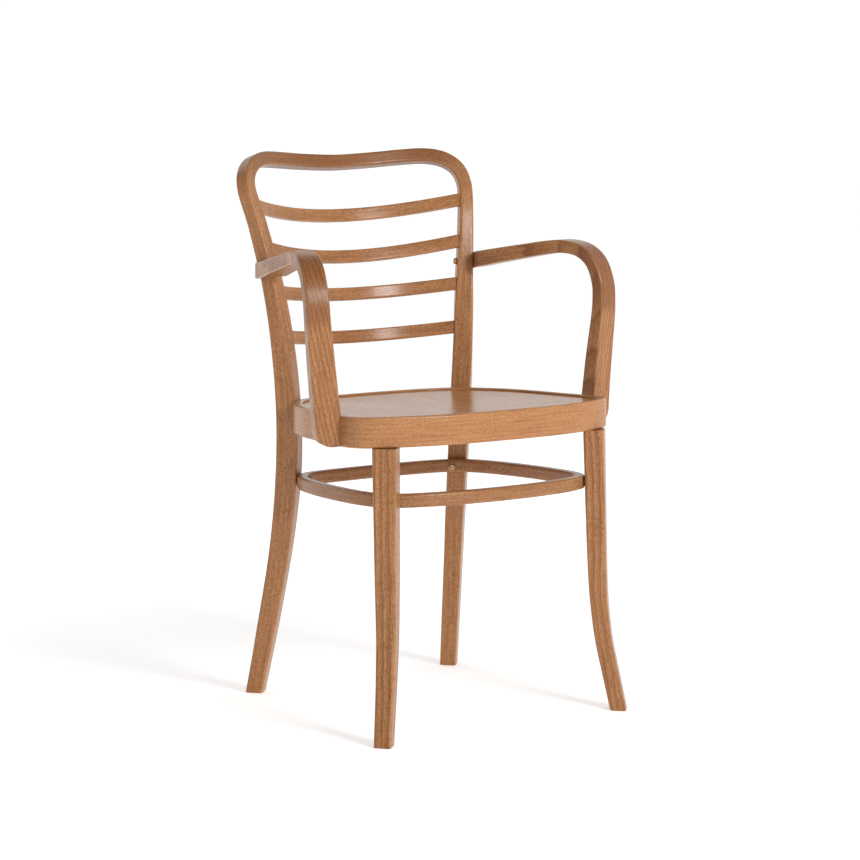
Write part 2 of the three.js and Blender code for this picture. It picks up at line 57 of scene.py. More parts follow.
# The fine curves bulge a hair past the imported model's facets, so every piece is trimmed by this.
TRIM = 0.9992
CRISP_ANGLE = 42        # degrees; edges that turn more than this are shaded sharp

# Front of the seat ring in the maker's drawing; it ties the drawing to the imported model.
RING_FRONT = -0.198
SHIFT = np.array((0.0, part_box("seat_ring")[0].y - RING_FRONT, 0.0))

# ---------------------------------------------------------------- drawing, millimetres

# One bent stick is both rear legs, both uprights and the top rail. Right half, foot to middle
# of the rail: x, y, z, face width, depth, face turn and lean in degrees.
FRAME_KEYS = [
    (179.5, 212.8, 0, 25.5, 26, 43, 0), (174.7, 202.5, 49, 26, 27, 43, 0),
    (170.3, 192.5, 97, 26.5, 28.5, 43, 0), (166.0, 182.7, 145, 27, 29.5, 43, 0),
    (162.1, 173.4, 192, 27.5, 30.3, 43, 0), (158.7, 165.3, 239, 28.5, 31.3, 42.5, 0),
    (156.4, 158.3, 286, 29.5, 32.3, 42, 0), (155.1, 152.8, 330, 30, 33.5, 41, 0),
    (154.9, 149.0, 375, 30, 33.8, 41, 0), (156.2, 147.0, 425, 30.3, 32.5, 40.5, 0),
    (158.7, 147.0, 470, 30.5, 31, 40, 0), (161.9, 149.2, 515, 30.5, 28.5, 35.5, 0),
    (167.2, 154.8, 575, 29, 25.2, 30, 0), (174.3, 163.6, 634, 25.5, 24, 25, 0),
    (182.0, 172.5, 680, 22.8, 23.4, 22, 0), (189.4, 182.3, 723, 21, 22.8, 20, 0),
    (195.0, 191.0, 752, 20.8, 22.6, 21, 6), (196.8, 197.8, 770, 20.8, 22.5, 23, 12),
    (193.8, 205.0, 786, 21, 22.5, 25, 16), (184.8, 213.5, 799, 21, 22.5, 26, 18),
    (168.5, 224.5, 808.3, 21, 22.5, 26, 19), (145.0, 237.5, 811.8, 21, 22.5, 22, 19),
    (110.0, 251.5, 810, 21, 22.5, 15, 19), (60.0, 263.5, 806, 21, 22.5, 8, 19),
    (0.0, 268.0, 803.5, 21, 22.5, 0, 19),
]

# Back slats: height at the ends, set back of the middle, fall of the middle.
SLATS = [(744.5, 68, 22.5), (681.5, 55, 21.5), (616.3, 54, 13.0), (549.6, 54, 11.5)]
SLAT_TENON = 7
SLAT_SHOULDER = 10      # from the middle of an upright to the end of the slat between them
HIDDEN_EASE = 0.5       # rounding of the ends that sit inside a joint

# Front leg, right: x, y, z, face width, depth, face turn in degrees.
LEG_KEYS = [
    (209.1, -194.3, 0, 25, 23.8, 48), (205.5, -190.6, 22.6, 25.5, 24, 48),
    (199.0, -184.2, 63.7, 26.5, 24.2, 48), (193.0, -177.7, 105, 27.5, 24.8, 48),
    (189.0, -173.6, 147, 28.6, 25.6, 48), (187.0, -170.5, 189, 30, 27, 48),
    (185.8, -168.0, 246, 31.6, 28.4, 48), (184.7, -165.0, 331, 33, 29.3, 47.5),
    (183.9, -162.6, 402, 34.4, 30, 47), (183.5, -161.5, 432, 34.6, 30, 47),
]

# Arm, right: run to the back, shift outward, height, inner and outer half width, thickness.
ARM_FOOT = (239.5, -91.5, 0.0)
ARM_TURN = 15.5
ARM_END_R = 24
ARM_OVERRUN = 27        # how far the arm's middle may pass the upright's face before it is bedded
ARM_KEYS = [
    (0, -3.8, 418, 19.5, 19.5, 26.5), (0, -3.5, 421, 19.5, 19.5, 26.5),
    (0, -3.0, 426, 19.5, 19.5, 26.5), (0, -2.4, 433, 19.5, 19.5, 26.5),
    (0, -1.8, 442, 19.5, 19.5, 26.5), (0, 0, 464, 19.3, 19.3, 26),
    (-1.5, 5.5, 520, 18.6, 18.6, 24), (-4, 10.5, 570, 18, 17.8, 21.5),
    (-4.5, 13, 600, 17.8, 17.3, 20), (-1.5, 14.3, 630, 17.6, 17, 19),
    (11.5, 15, 659, 17.4, 17, 18.6), (34, 14.6, 676, 17.2, 17, 18.8),
    (64, 13.4, 681.5, 17, 17, 19.6), (98, 11.2, 678.5, 16.2, 17, 20.6),
    (140, 8.4, 671.5, 14.5, 20, 21.4), (190, 4.6, 662.8, 12.5, 25, 22.8),
    (235, 1.2, 654.6, 11, 28, 24), (295, -3, 645.7, 10, 31.5, 24.5),
]
ARM_BOLT_Z = 649
ARM_BED_Z = 560         # the arm meets the upright above this height

# Half outlines in plan, front centre to rear centre.
RING_OUTLINE = [
    (0, -198), (55, -197), (110, -190.5), (158, -178.5), (195, -164), (216.5, -148),
    (226, -125), (225, -94), (218.5, -56), (212.5, -14), (204, 32), (188.5, 78.5),
    (165, 117.5), (135, 145), (98, 158), (50, 164.5), (0, 166.5),
]
STRETCHER_OUTLINE = [
    (0, -194), (60, -191), (115, -181.5), (152, -168.5), (173, -154), (186, -130),
    (192, -90), (191.5, -40), (187.5, 10), (179.5, 60), (166.5, 105), (144, 138.5),
    (112, 153), (60, 159), (0, 161),
]
GAP = 0.3               # clearance between pieces that touch
# Height of each ring's top, its fall to the back, and the depth where that height holds.
SEAT_HEIGHT, SEAT_FALL, SEAT_AT = 464.0, 0.0245, -162.0
STRETCHER_HEIGHT, STRETCHER_FALL, STRETCHER_AT = 352.5, 0.025, -180.0
RUN_STEPS = 24          # rows between two keys of a curve


def seat_top(y):
    """Height of the seat ring's top at depth y; the seat falls to the back."""
    return SEAT_HEIGHT - SEAT_FALL * (y - SEAT_AT)


def stretcher_top(y):
    """Height of the stretcher ring's top at depth y."""
    return STRETCHER_HEIGHT - STRETCHER_FALL * (y - STRETCHER_AT)


# ---------------------------------------------------------------- settings

def length(name, description, default, low, high):
    """Setting that is a length in metres."""
    return FloatProperty(name=name, description=description, default=default, min=low, max=high,
                         unit="LENGTH")


class ChairSizes(bpy.types.PropertyGroup):
    """Sizes of the armchair's sticks that can be changed without moving a joint."""

    edge_radius: length(
        "Stick edge radius", "Rounding of the long edges of the frame and the legs",
        3.2 * MM, 0.0005, 0.008)
    arm_edge_radius: length(
        "Arm edge radius", "Rounding of the long edges of the arms", 2.8 * MM, 0.0005, 0.008)
    slat_height: length("Slat height", "Height of one back slat", 20 * MM, 0.01, 0.03)
    slat_thickness: length("Slat thickness", "Thickness of one back slat", 10 * MM, 0.006, 0.014)
    slat_edge_radius: length(
        "Slat edge radius", "Rounding of the long edges of the slats", 2.6 * MM, 0.0005, 0.005)
    ring_height: length("Seat ring height", "Height of the bent seat ring", 44 * MM, 0.03, 0.05)
    ring_width: length(
        "Seat ring width", "Thickness of the bent seat ring in plan", 24 * MM, 0.018, 0.03)
    rebate_width: length(
        "Rebate width", "Width of the ledge that carries the seat panel", 10 * MM, 0.005, 0.012)
    rebate_depth: length(
        "Rebate depth", "Depth of the ledge below the ring's top", 8.5 * MM, 0.005, 0.012)
    panel_thickness: length(
        "Panel thickness", "Thickness of the plywood seat panel", 5 * MM, 0.003, 0.008)
    panel_dish: length(
        "Panel dish", "How far the middle of the seat panel sinks", 7 * MM, 0.0, 0.015)
    stretcher_height: length(
        "Stretcher height", "Height of the bent stretcher ring", 20 * MM, 0.015, 0.025)
    stretcher_width: length(
        "Stretcher width", "Thickness of the bent stretcher ring in plan", 16 * MM, 0.01, 0.02)
    foot_ease: length(
        "Foot ease", "Small rounding round the sawn feet and arm ends", 1.0 * MM, 0.0002, 0.003)


class ChairFinish(bpy.types.PropertyGroup):
    """Colours and sheen of the wood and of the fasteners."""

    stain: FloatVectorProperty(
        name="Stain", description="Main tone of the stained beech", subtype="COLOR",
        size=3, default=(0.385, 0.165, 0.058), min=0.0, max=1.0)
    grain: FloatVectorProperty(
        name="Grain", description="Tone of the dark growth lines and ray flecks", subtype="COLOR",
        size=3, default=(0.15, 0.048, 0.012), min=0.0, max=1.0)
    honey: FloatVectorProperty(
        name="Pale wood", description="Tone where the stain is thin, and along rubbed edges",
        subtype="COLOR", size=3, default=(0.56, 0.285, 0.12), min=0.0, max=1.0)
    lacquer: FloatProperty(
        name="Lacquer", description="Weight of the satin lacquer over the stain",
        default=0.35, min=0.0, max=1.0, subtype="FACTOR")
    brass: FloatVectorProperty(
        name="Bronzed brass", description="Tone of the visible screws, cups and bolt heads",
        subtype="COLOR", size=3, default=(0.66, 0.42, 0.24), min=0.0, max=1.0)
    steel: FloatVectorProperty(
        name="Zinc", description="Tone of the bolts under the seat", subtype="COLOR",
        size=3, default=(0.55, 0.56, 0.58), min=0.0, max=1.0)


# ---------------------------------------------------------------- node writing

class Term:
    """One output socket that can be used in Python arithmetic."""

    def __init__(self, graph, socket):
        self.graph = graph
        self.socket = socket

    @staticmethod
    def _is_vector(value):
        return isinstance(value, tuple) or (
            isinstance(value, Term) and value.socket.type == "VECTOR")

    def _join(self, operation, left, right):
        """Math for two numbers, Vector Math where a vector takes part."""
        kind, values = "ShaderNodeMath", {0: left, 1: right}
        vectors = (self._is_vector(left), self._is_vector(right))
        if any(vectors):
            kind = "ShaderNodeVectorMath"
            if operation == "MULTIPLY" and not all(vectors):
                whole, factor = (left, right) if vectors[0] else (right, left)
                operation, values = "SCALE", {0: whole, "Scale": factor}
        return self.graph.node(kind, {"operation": operation}, values)[0]

    def __add__(self, other):
        return self._join("ADD", self, other)

    def __radd__(self, other):
        return self._join("ADD", other, self)

    def __sub__(self, other):
        return self._join("SUBTRACT", self, other)

    def __rsub__(self, other):
        return self._join("SUBTRACT", other, self)

    def __mul__(self, other):
        return self._join("MULTIPLY", self, other)

    def __rmul__(self, other):
        return self._join("MULTIPLY", other, self)

    def __truediv__(self, other):
        return self._join("DIVIDE", self, other)

    def __rtruediv__(self, other):
        return self._join("DIVIDE", other, self)

    def call(self, operation, *others):
        """Math node for an operation that Python has no sign for."""
        values = {i: v for i, v in enumerate((self, *others))}
        return self.graph.node("ShaderNodeMath", {"operation": operation}, values)[0]

    def parts(self):
        """The three numbers of a vector."""
        made = self.graph.node("ShaderNodeSeparateXYZ", {}, {0: self})
        return made[0], made[1], made[2]


class Made:
    """A node that has been added; indexing it gives an output as a Term."""

    def __init__(self, graph, node):
        self.graph = graph
        self.node = node

    def __getitem__(self, key):
        return Term(self.graph, find_socket(self.node.outputs, key))


def find_socket(sockets, key):
    """Socket by number, by identifier or by name."""
    if isinstance(key, int):
        return sockets[key]
    for socket in sockets:
        if socket.identifier == key:
            return socket
    for socket in sockets:
        if socket.name == key and socket.enabled:
            return socket
    raise KeyError(f"no socket {key!r} among {[s.name for s in sockets]}")


class Graph:
    """Adds nodes to a tree and links them."""

    def __init__(self, tree):
        self.tree = tree

    def node(self, kind, settings=None, values=None):
        """Adds a node: settings first, then the values or links of its sockets."""
        made = self.tree.nodes.new(kind)
        for name, value in (settings or {}).items():
            setattr(made, name, value)
        for key, value in (values or {}).items():
            socket = find_socket(made.inputs, key)
            if isinstance(value, Term):
                self.tree.links.new(value.socket, socket)
            elif socket.type == "RGBA" and len(value) == 3:
                socket.default_value = (*value, 1.0)
            else:
                socket.default_value = value
        return Made(self, made)

    # shader helpers
    def noise(self, vector, scale, detail=2.0, roughness=0.5):
        """Noise between 0 and 1; three scales draw it out along x, y and z."""
        if isinstance(scale, tuple):
            vector, scale = self.stretch(vector, scale), 1.0
        return self.node("ShaderNodeTexNoise", {}, {
            "Vector": vector, "Scale": scale, "Detail": detail, "Roughness": roughness})[0]

    def mix(self, factor, low, high):
        """Colour between low and high."""
        return self.node("ShaderNodeMix", {"data_type": "RGBA"}, {
            "Factor_Float": factor, "A_Color": low, "B_Color": high})["Result_Color"]

    def step(self, value, low, high):
        """Smooth rise from 0 at low to 1 at high; falls instead if low is above high."""
        flip = low > high
        return self.node("ShaderNodeMapRange", {"interpolation_type": "SMOOTHSTEP"}, {
            "Value": value, "From Min": min(low, high), "From Max": max(low, high),
            "To Min": 1.0 if flip else 0.0, "To Max": 0.0 if flip else 1.0})[0]

    def stretch(self, vector, sizes):
        """Vector multiplied number by number."""
        return self.node("ShaderNodeVectorMath", {"operation": "MULTIPLY"},
                         {0: vector, 1: sizes})[0]

    def combine(self, x, y, z):
        """Vector from three numbers."""
        return self.node("ShaderNodeCombineXYZ", {}, {0: x, 1: y, 2: z})[0]

    def bump(self, height, strength, distance):
        """Normal that is shaded as if the surface rose and fell by height."""
        return self.node("ShaderNodeBump", {}, {
            "Height": height, "Strength": strength, "Distance": distance})[0]

    # geometry helpers
    def sheet(self, rows, columns):
        """Flat mesh of a point for each row and column; gives back (mesh, row, column)."""
        mesh = self.node("GeometryNodeMeshGrid", {}, {"Vertices X": rows, "Vertices Y": columns})[0]
        index = self.node("GeometryNodeInputIndex")[0]
        row = ((index + 0.5) / columns).call("FLOOR")
        return mesh, row, index - row * columns

    def count(self, geometry):
        """Number of points of a mesh."""
        return self.node("GeometryNodeAttributeDomainSize", {"component": "MESH"},
                         {"Geometry": geometry})["Point Count"]

    def object_mesh(self, helper):
        """Mesh of a helper object."""
        return self.node("GeometryNodeObjectInfo", {"transform_space": "ORIGINAL"},
                         {"Object": helper})["Geometry"]

    def sample(self, geometry, field, kind, index):
        """Value of a field at one point of another geometry."""
        return self.node("GeometryNodeSampleIndex", {"data_type": kind, "domain": "POINT"}, {
            "Geometry": geometry, "Value": field, "Index": index})[0]

    def store(self, geometry, name, value, kind, domain):
        """Writes a named attribute."""
        return self.node("GeometryNodeStoreNamedAttribute", {"data_type": kind, "domain": domain}, {
            "Geometry": geometry, "Name": name, "Value": value})[0]

    def weld(self, geometry, distance):
        """Merges points that meet and shades the faces smooth."""
        merged = self.node("GeometryNodeMergeByDistance", {}, {
            "Geometry": geometry, "Distance": distance})[0]
        return self.node("GeometryNodeSetShadeSmooth", {}, {"Geometry": merged})[0]

    def hand_out(self, geometry, finish):
        """Ends a node group: plain mesh, its material, and the group's output."""
        whole = self.node("GeometryNodeRealizeInstances", {}, {"Geometry": geometry})[0]
        painted = self.node("GeometryNodeSetMaterial", {}, {
            "Geometry": whole, "Material": finish})[0]
        self.node("NodeGroupOutput", {}, {"Geometry": painted})

    def named(self, name, kind):
        """A named attribute as a field."""
        return self.node("GeometryNodeInputNamedAttribute", {"data_type": kind}, {"Name": name})[0]


def new_material(name):
    """Empty material with a Principled shader; gives back (material, graph, shader node)."""
    material = bpy.data.materials.new(name)
    material.use_nodes = True
    tree = material.node_tree
    tree.nodes.clear()
    graph = Graph(tree)
    shader = graph.node("ShaderNodeBsdfPrincipled")
    output = graph.node("ShaderNodeOutputMaterial")
    tree.links.new(shader.node.outputs[0], output.node.inputs["Surface"])
    return material, graph, shader.node


def feed(graph, shader, **values):
    """Sets or links the shader's sockets; underscores stand for spaces."""
    for name, value in values.items():
        socket = shader.inputs[name.replace("_", " ")]
        if isinstance(value, Term):
            graph.tree.links.new(value.socket, socket)
        else:
            socket.default_value = value


# ---------------------------------------------------------------- finishes

def made_once(maker):
    """Gives back a material that an earlier piece has had made, or makes it."""
    def make(name, *args, **options):
        return bpy.data.materials.get(name) or maker(name, *args, **options)
    return make


@made_once
def stained_beech(name, finish, tone=1.0, rings=0.5, ring_pitch=0.0032, ring_turn=20.0,
                  heart=(0.0, 0.0), flecks=0.6, blotch=0.35, wander=0.009, slant=0.0,
                  dark_band=None):
    """Stained and lacquered beech whose grain follows the bend of the stick.

    The grain attribute holds the place along the stick, across it and through it, in metres."""
    material, g, shader = new_material(name)
    place = g.node("ShaderNodeAttribute", {"attribute_name": "grain"})["Vector"]
    edge = g.node("ShaderNodeAttribute", {"attribute_name": "edge"})["Fac"]
    along, across, through = place.parts()

    # growth layers: slightly wavy sheets of wood that the saw has cut at an angle
    drift = g.noise(place, (5.0, 16.0, 16.0), 3.0, 0.55)
    fine_drift = g.noise(place, (34.0, 60.0, 60.0), 2.0, 0.5)
    turn = math.radians(ring_turn)
    side = across - heart[0]
    deep = through - heart[1]
    flat = side * math.cos(turn) + deep * math.sin(turn)
    round_ = ((side * side) + (deep * deep)).call("SQRT")
    layer = (flat * 0.75 + round_ * 0.25 + (drift - 0.5) * wander + (fine_drift - 0.5) * 0.0022
             + along * slant)
    phase = (layer / ring_pitch).call("FRACT")
    late = g.step(phase, 0.15, 0.7) * g.step(phase, 1.0, 0.8)
    thin = g.step(phase, 0.72, 0.88) * g.step(phase, 1.0, 0.92)

    # short dark ray flecks and pores, drawn out along the grain
    wide_flecks = g.noise(place, (200.0, 560.0, 560.0), 2.0, 0.55)
    fleck = g.step(wide_flecks, 0.48, 0.68)
    pores = g.noise(place, (300.0, 900.0, 900.0), 1.0, 0.5)
    pore = g.step(pores, 0.44, 0.62)
    cluster = g.step(g.noise(place, (22.0, 60.0, 60.0), 2.0, 0.5), 0.35, 0.65)

    # slow changes in how much stain the wood has taken
    cloud = g.noise(place, (9.0, 42.0, 42.0), 3.0, 0.6)
    streak = g.noise(place, (14.0, 420.0, 420.0), 2.0, 0.55)

    # tone scales all three colours of a piece: painted light and shade, lighter or darker for how
    # much light falls on that piece
    stain, grain, honey = (tuple(min(1.0, c * tone) for c in colour)
                           for colour in (finish.stain, finish.grain, finish.honey))
    colour = g.mix((cloud - 0.5) * 2.0 * blotch + 0.34, stain, honey)
    colour = g.mix(g.step(streak, 0.42, 0.72) * 0.38, colour, grain)
    colour = g.mix(late * (0.45 * rings) + thin * (0.45 * rings), colour, grain)
    fleck_mask = fleck * (cluster * 0.6 + 0.4) * flecks
    colour = g.mix(fleck_mask * 0.8, colour, grain)
    colour = g.mix(pore * 0.5 * flecks, colour, grain)
    if dark_band:
        # darker round one place along the stick. On the arms it is painted shade at the top of the
        # bend, which faces the dark ceiling; on the top rail it darkens the middle of the rail
        middle, reach, amount = dark_band
        band_darkening = g.step((along - middle).call("ABSOLUTE"), reach, reach * 0.6)
        colour = g.mix(band_darkening * amount, colour, grain)
    worn = edge * g.step(g.noise(place, (30.0, 160.0, 160.0), 3.0, 0.6), 0.3, 0.7)
    colour = g.mix(worn * 0.35, colour, honey)

    rough = 0.36 + fleck_mask * 0.14 + (cloud - 0.5) * 0.16 - worn * 0.06
    height = (1.0 - fleck_mask) * 0.5 + (1.0 - thin) * (0.35 * rings) + (1.0 - pore) * 0.12
    feed(g, shader, Base_Color=colour, Roughness=rough, Normal=g.bump(height, 0.22, 0.35 * MM),
         Coat_Weight=finish.lacquer, Coat_Roughness=0.2, Specular_IOR_Level=0.18,
         IOR=1.45)
    return material


@made_once
def seat_veneer(name, finish):
    """Rotary-cut beech veneer under a glossy lacquer; the grain runs front to back."""
    material, g, shader = new_material(name)
    place = g.node("ShaderNodeTexCoord")["Object"]
    drift = g.noise(place, (9.0, 3.0, 1.0), 3.0, 0.5)
    layer = place.parts()[0] * 0.7 + (drift - 0.5) * 0.11
    phase = (layer / 0.017).call("FRACT")
    line = g.step(phase, 0.5, 0.93) * g.step(phase, 1.0, 0.94)
    fleck = g.step(g.noise(place, (850.0, 240.0, 400.0), 2.0, 0.6), 0.55, 0.72)
    pore = g.step(g.noise(place, (2200.0, 500.0, 800.0), 1.0, 0.5), 0.55, 0.75)
    cloud = g.noise(place, (16.0, 5.0, 4.0), 3.0, 0.55)
    rub = g.noise(place, 9.0, 3.0, 0.5)
    colour = g.mix((cloud - 0.5) * 0.9 + 0.35, tuple(finish.stain), tuple(finish.honey))
    colour = g.mix(line * 0.35, colour, tuple(finish.grain))
    colour = g.mix(fleck * 0.3, colour, tuple(finish.grain))
    colour = g.mix(pore * 0.12, colour, tuple(finish.grain))
    rough = 0.27 + (rub - 0.5) * 0.12 + fleck * 0.05
    height = (1.0 - fleck) * 0.5 + (1.0 - line) * 0.3
    feed(g, shader, Base_Color=colour, Roughness=rough, Normal=g.bump(height, 0.12, 0.2 * MM),
         Coat_Weight=0.0, Specular_IOR_Level=0.4, IOR=1.5)
    return material


@made_once
def bronzed_metal(name, finish):
    """Brown bronzed brass, rubbed brighter in places, with fine turning marks."""
    material, g, shader = new_material(name)
    place = g.node("ShaderNodeTexCoord")["Object"]
    patina = g.noise(place, 420.0, 4.0, 0.6)
    marks = g.noise(place, (900.0, 900.0, 3200.0), 2.0, 0.5)
    bright = tuple(finish.brass)
    dark = tuple(c * 0.35 for c in bright)
    colour = g.mix(g.step(patina, 0.3, 0.62), dark, bright)
    rough = 0.24 + (1.0 - patina) * 0.26 + (marks - 0.5) * 0.08
    feed(g, shader, Base_Color=colour, Roughness=rough, Normal=g.bump(marks, 0.15, 0.1 * MM),
         Metallic=1.0)
    return material


@made_once
def zinc_steel(name, finish):
    """Zinc-plated steel with a faint crystal pattern and dull spots."""
    material, g, shader = new_material(name)
    place = g.node("ShaderNodeTexCoord")["Object"]
    flake = g.node("ShaderNodeTexVoronoi", {"feature": "F1"}, {"Vector": place, "Scale": 700.0})[0]
    dull = g.noise(place, 260.0, 4.0, 0.6)
    bright = tuple(finish.steel)
    dark = tuple(c * 0.6 for c in bright)
    colour = g.mix(g.step(dull, 0.35, 0.65), dark, bright)
    rough = 0.3 + dull * 0.2 + (flake - 0.4) * 0.08
    feed(g, shader, Base_Color=colour, Roughness=rough, Normal=g.bump(dull, 0.1, 0.1 * MM),
         Metallic=1.0)
    return material


# ---------------------------------------------------------------- curves of the drawing

def smooth_run(keys, steps=RUN_STEPS):
    """Catmull-Rom run through key rows; the columns after x, y, z are blended in a line."""
    keys = np.array(keys, float)
    points = np.vstack([2 * keys[0] - keys[1], keys, 2 * keys[-1] - keys[-2]])
    rows = []
    for k in range(len(keys) - 1):
        p0, p1, p2, p3 = (points[k + i] for i in range(4))
        for i in range(steps):
            t = i / steps
            m1, m2 = (p2 - p0) / 2, (p3 - p1) / 2
            row = ((2 * t**3 - 3 * t**2 + 1) * p1 + (t**3 - 2 * t**2 + t) * m1
                   + (3 * t**2 - 2 * t**3) * p2 + (t**3 - t**2) * m2)
            row[3:] = p1[3:] * (1 - t) + p2[3:] * t
            rows.append(row)
    rows.append(keys[-1])
    return np.array(rows)


def lengths(rows):
    """Distance along a run of rows, starting at 0."""
    steps = np.linalg.norm(np.diff(rows[:, :3], axis=0), axis=1)
    return np.concatenate([[0.0], np.cumsum(steps)])


def at_distances(rows, places):
    """Rows at given distances along the run."""
    s = lengths(rows)
    return np.stack([np.interp(places, s, rows[:, c]) for c in range(rows.shape[1])], axis=1)


def unit(v):
    """Vectors scaled to length 1."""
    return v / np.linalg.norm(v, axis=-1, keepdims=True)


def tangents(points):
    """Direction of travel at every point."""
    out = np.zeros_like(points)
    out[1:-1] = points[2:] - points[:-2]
    out[0] = points[1] - points[0]
    out[-1] = points[-1] - points[-2]
    return unit(out)


def square_up(faces, along):
    """Depth and width directions at right angles to the run."""
    depth = unit(faces - along * np.sum(faces * along, axis=1, keepdims=True))
    return depth, unit(np.cross(along, depth))


def closed_plan(half, pitch=3.0):
    """Closed plan curve at an even pitch with its outward directions; the first point repeats."""
    left = [(-x, y) for x, y in reversed(half[1:-1])]
    keys = [(x, y, 0.0) for x, y in (*half, *left)]
    n = len(keys)
    wrapped = [keys[(i - 3) % n] for i in range(n + 7)]
    steps = 40
    rows = smooth_run(wrapped, steps)[3 * steps:(n + 3) * steps + 1]
    s = lengths(rows)
    count = int(s[-1] / pitch)
    points = at_distances(rows, np.linspace(0.0, s[-1], count + 1))
    along = unit(np.roll(points[:-1], -1, axis=0) - np.roll(points[:-1], 1, axis=0))
    along = np.vstack([along, along[:1]])
    out = np.stack([along[:, 1], -along[:, 0], np.zeros(len(along))], axis=1)
    return points, out


def frame_run():
    """Dense rows of the right half of the back frame."""
    mirrored = [(-k[0], *k[1:]) for k in reversed(FRAME_KEYS[:-1])]
    rows = smooth_run([*FRAME_KEYS, *mirrored])
    return rows[:(len(FRAME_KEYS) - 1) * RUN_STEPS + 1]


FRAME_RUN = frame_run()


def upright_at(z):
    """Row of the right upright at a height, and its direction of travel."""
    i = int(np.argmax(FRAME_RUN[:, 2] > z))
    below, above = FRAME_RUN[i - 1], FRAME_RUN[i]
    f = (z - below[2]) / (above[2] - below[2])
    return below * (1 - f) + above * f, unit(above[:3] - below[:3])


def face_of(turn, lean):
    """Direction that a stick's front face looks, from its turn and lean in degrees."""
    turn, lean = np.radians(turn), np.radians(lean)
    level = np.cos(lean)
    return np.stack([-np.sin(turn) * level, -np.cos(turn) * level, np.sin(lean)], axis=1)


def arm_plane():
    """Point and outward direction of the right upright's outer face, where the arm beds."""
    row, along = upright_at(ARM_BOLT_Z)
    turn = math.radians(row[5])
    out = np.array([math.cos(turn), -math.sin(turn), 0.0])
    out = unit(out - along * out.dot(along))
    return row[:3] + out * (row[3] / 2 + GAP), out, row


# ---------------------------------------------------------------- bent sticks with Geometry Nodes

class Stick:
    """Rows of one stick in millimetres: centre, section directions and section half sizes."""

    def __init__(self, points, across, depth, outer, inner, half):
        self.points = np.array(points, float)
        self.across = np.array(across, float)
        self.depth = np.array(depth, float)
        self.reach = np.stack([outer, inner, half], axis=1).astype(float)
        self.size = np.ones(len(self.points))
        self.run = lengths(self.points)

    def ease_end(self, at_start, radius, steps=4):
        """Closes an end with a small rounding and a flat face."""
        i, j = (0, 1) if at_start else (-1, -2)
        inward = unit(self.points[j] - self.points[i])
        if at_start and self.points[0][2] < 1e-6:
            inward = inward / inward[2]
        rows = []
        for k in range(steps + 1):
            angle = math.pi / 2 * k / steps
            lift, inset = radius * (1 - math.sin(angle)), radius * (1 - math.cos(angle))
            rows.append((self.points[i] + inward * lift, self.reach[i] - inset, 1.0))
        rows.append((self.points[i], self.reach[i], 0.0))
        if at_start:
            rows.reverse()
        points, reach, size = (np.array(column) for column in zip(*rows))
        sign = 1 if at_start else -1
        run = self.run[i] + sign * np.linalg.norm(points - self.points[i], axis=1)
        same = np.ones((len(rows), 1))

        def join(old, new):
            return np.concatenate([new, old[1:]] if at_start else [old[:-1], new])

        across, depth = same * self.across[i], same * self.depth[i]
        self.points, self.reach = join(self.points, points), join(self.reach, reach)
        self.across, self.depth = join(self.across, across), join(self.depth, depth)
        self.size, self.run = join(self.size, size), join(self.run, run)


def compass(quarters):
    """Direction in a section's plane after some quarter turns."""
    return np.array([math.cos(quarters * math.pi / 2), math.sin(quarters * math.pi / 2)])


def rounded_section(radius, steps=4, support=0.9):
    """Section of a rounded stick: corner signs, offsets from the corner and edge wear."""
    signs, offsets, wear = [], [], []
    for corner in range(4):
        sign = np.sign(compass(corner + 0.5))
        arc = [radius * (compass(corner + k / steps) - sign) for k in range(steps + 1)]
        before, after = compass(corner - 1) * support, compass(corner + 2) * support
        offsets += [arc[0] + before, *arc, arc[-1] + after]
        signs += [sign] * (steps + 3)
        wear += [0.0, *(math.sin(math.pi * k / steps) for k in range(steps + 1)), 0.0]
    for table in (signs, offsets, wear):
        table.append(table[0])
    return np.array(signs), np.array(offsets), np.array(wear)


def polygon_section(corners, steps=3, support=0.7):
    """Fixed section from (x, y, radius) corners; every corner is rounded and supported."""
    offsets, wear = [], []
    n = len(corners)
    for i, (x, y, r) in enumerate(corners):
        p = np.array([x, y], float)
        back = np.array(corners[i - 1][:2], float) - p
        ahead = np.array(corners[(i + 1) % n][:2], float) - p
        back_len, ahead_len = np.linalg.norm(back), np.linalg.norm(ahead)
        back, ahead = back / back_len, ahead / ahead_len
        start, end = p + back * r, p + ahead * r
        if back_len > 2 * (r + support) + 0.5:
            offsets.append(start + back * support)
            wear.append(0.0)
        for k in range(steps + 1):
            t = k / steps
            offsets.append((1 - t)**2 * start + 2 * t * (1 - t) * p + t**2 * end)
            wear.append(math.sin(math.pi * t))
        if ahead_len > 2 * (r + support) + 0.5:
            offsets.append(end + ahead * support)
            wear.append(0.0)
    offsets.append(offsets[0])
    wear.append(wear[0])
    return np.zeros((len(offsets), 2)), np.array(offsets), np.array(wear)


def table_mesh(name, points, **attributes):
    """Loose points that carry numbers or vectors, as one object."""
    mesh = bpy.data.meshes.new(name)
    mesh.from_pydata([tuple(p) for p in points], [], [])
    for key, values in attributes.items():
        values = np.asarray(values, float)
        kind = "FLOAT" if values.ndim == 1 else "FLOAT_VECTOR"
        layer = mesh.attributes.new(key, kind, "POINT")
        layer.data.foreach_set("value" if kind == "FLOAT" else "vector", values.ravel())
    table = bpy.data.objects.new(name, mesh)
    bpy.context.collection.objects.link(table)
    return table


def node_group(name, **inputs):
    """New Geometry Nodes group; gives back it, its graph and its named inputs."""
    tree = bpy.data.node_groups.new(name, "GeometryNodeTree")
    for label, kind in inputs.items():
        tree.interface.new_socket(label.replace("_", " "), in_out="INPUT",
                                  socket_type=f"NodeSocket{kind}")
    tree.interface.new_socket("Geometry", in_out="OUTPUT", socket_type="NodeSocketGeometry")
    g = Graph(tree)
    return tree, g, g.node("NodeGroupInput")


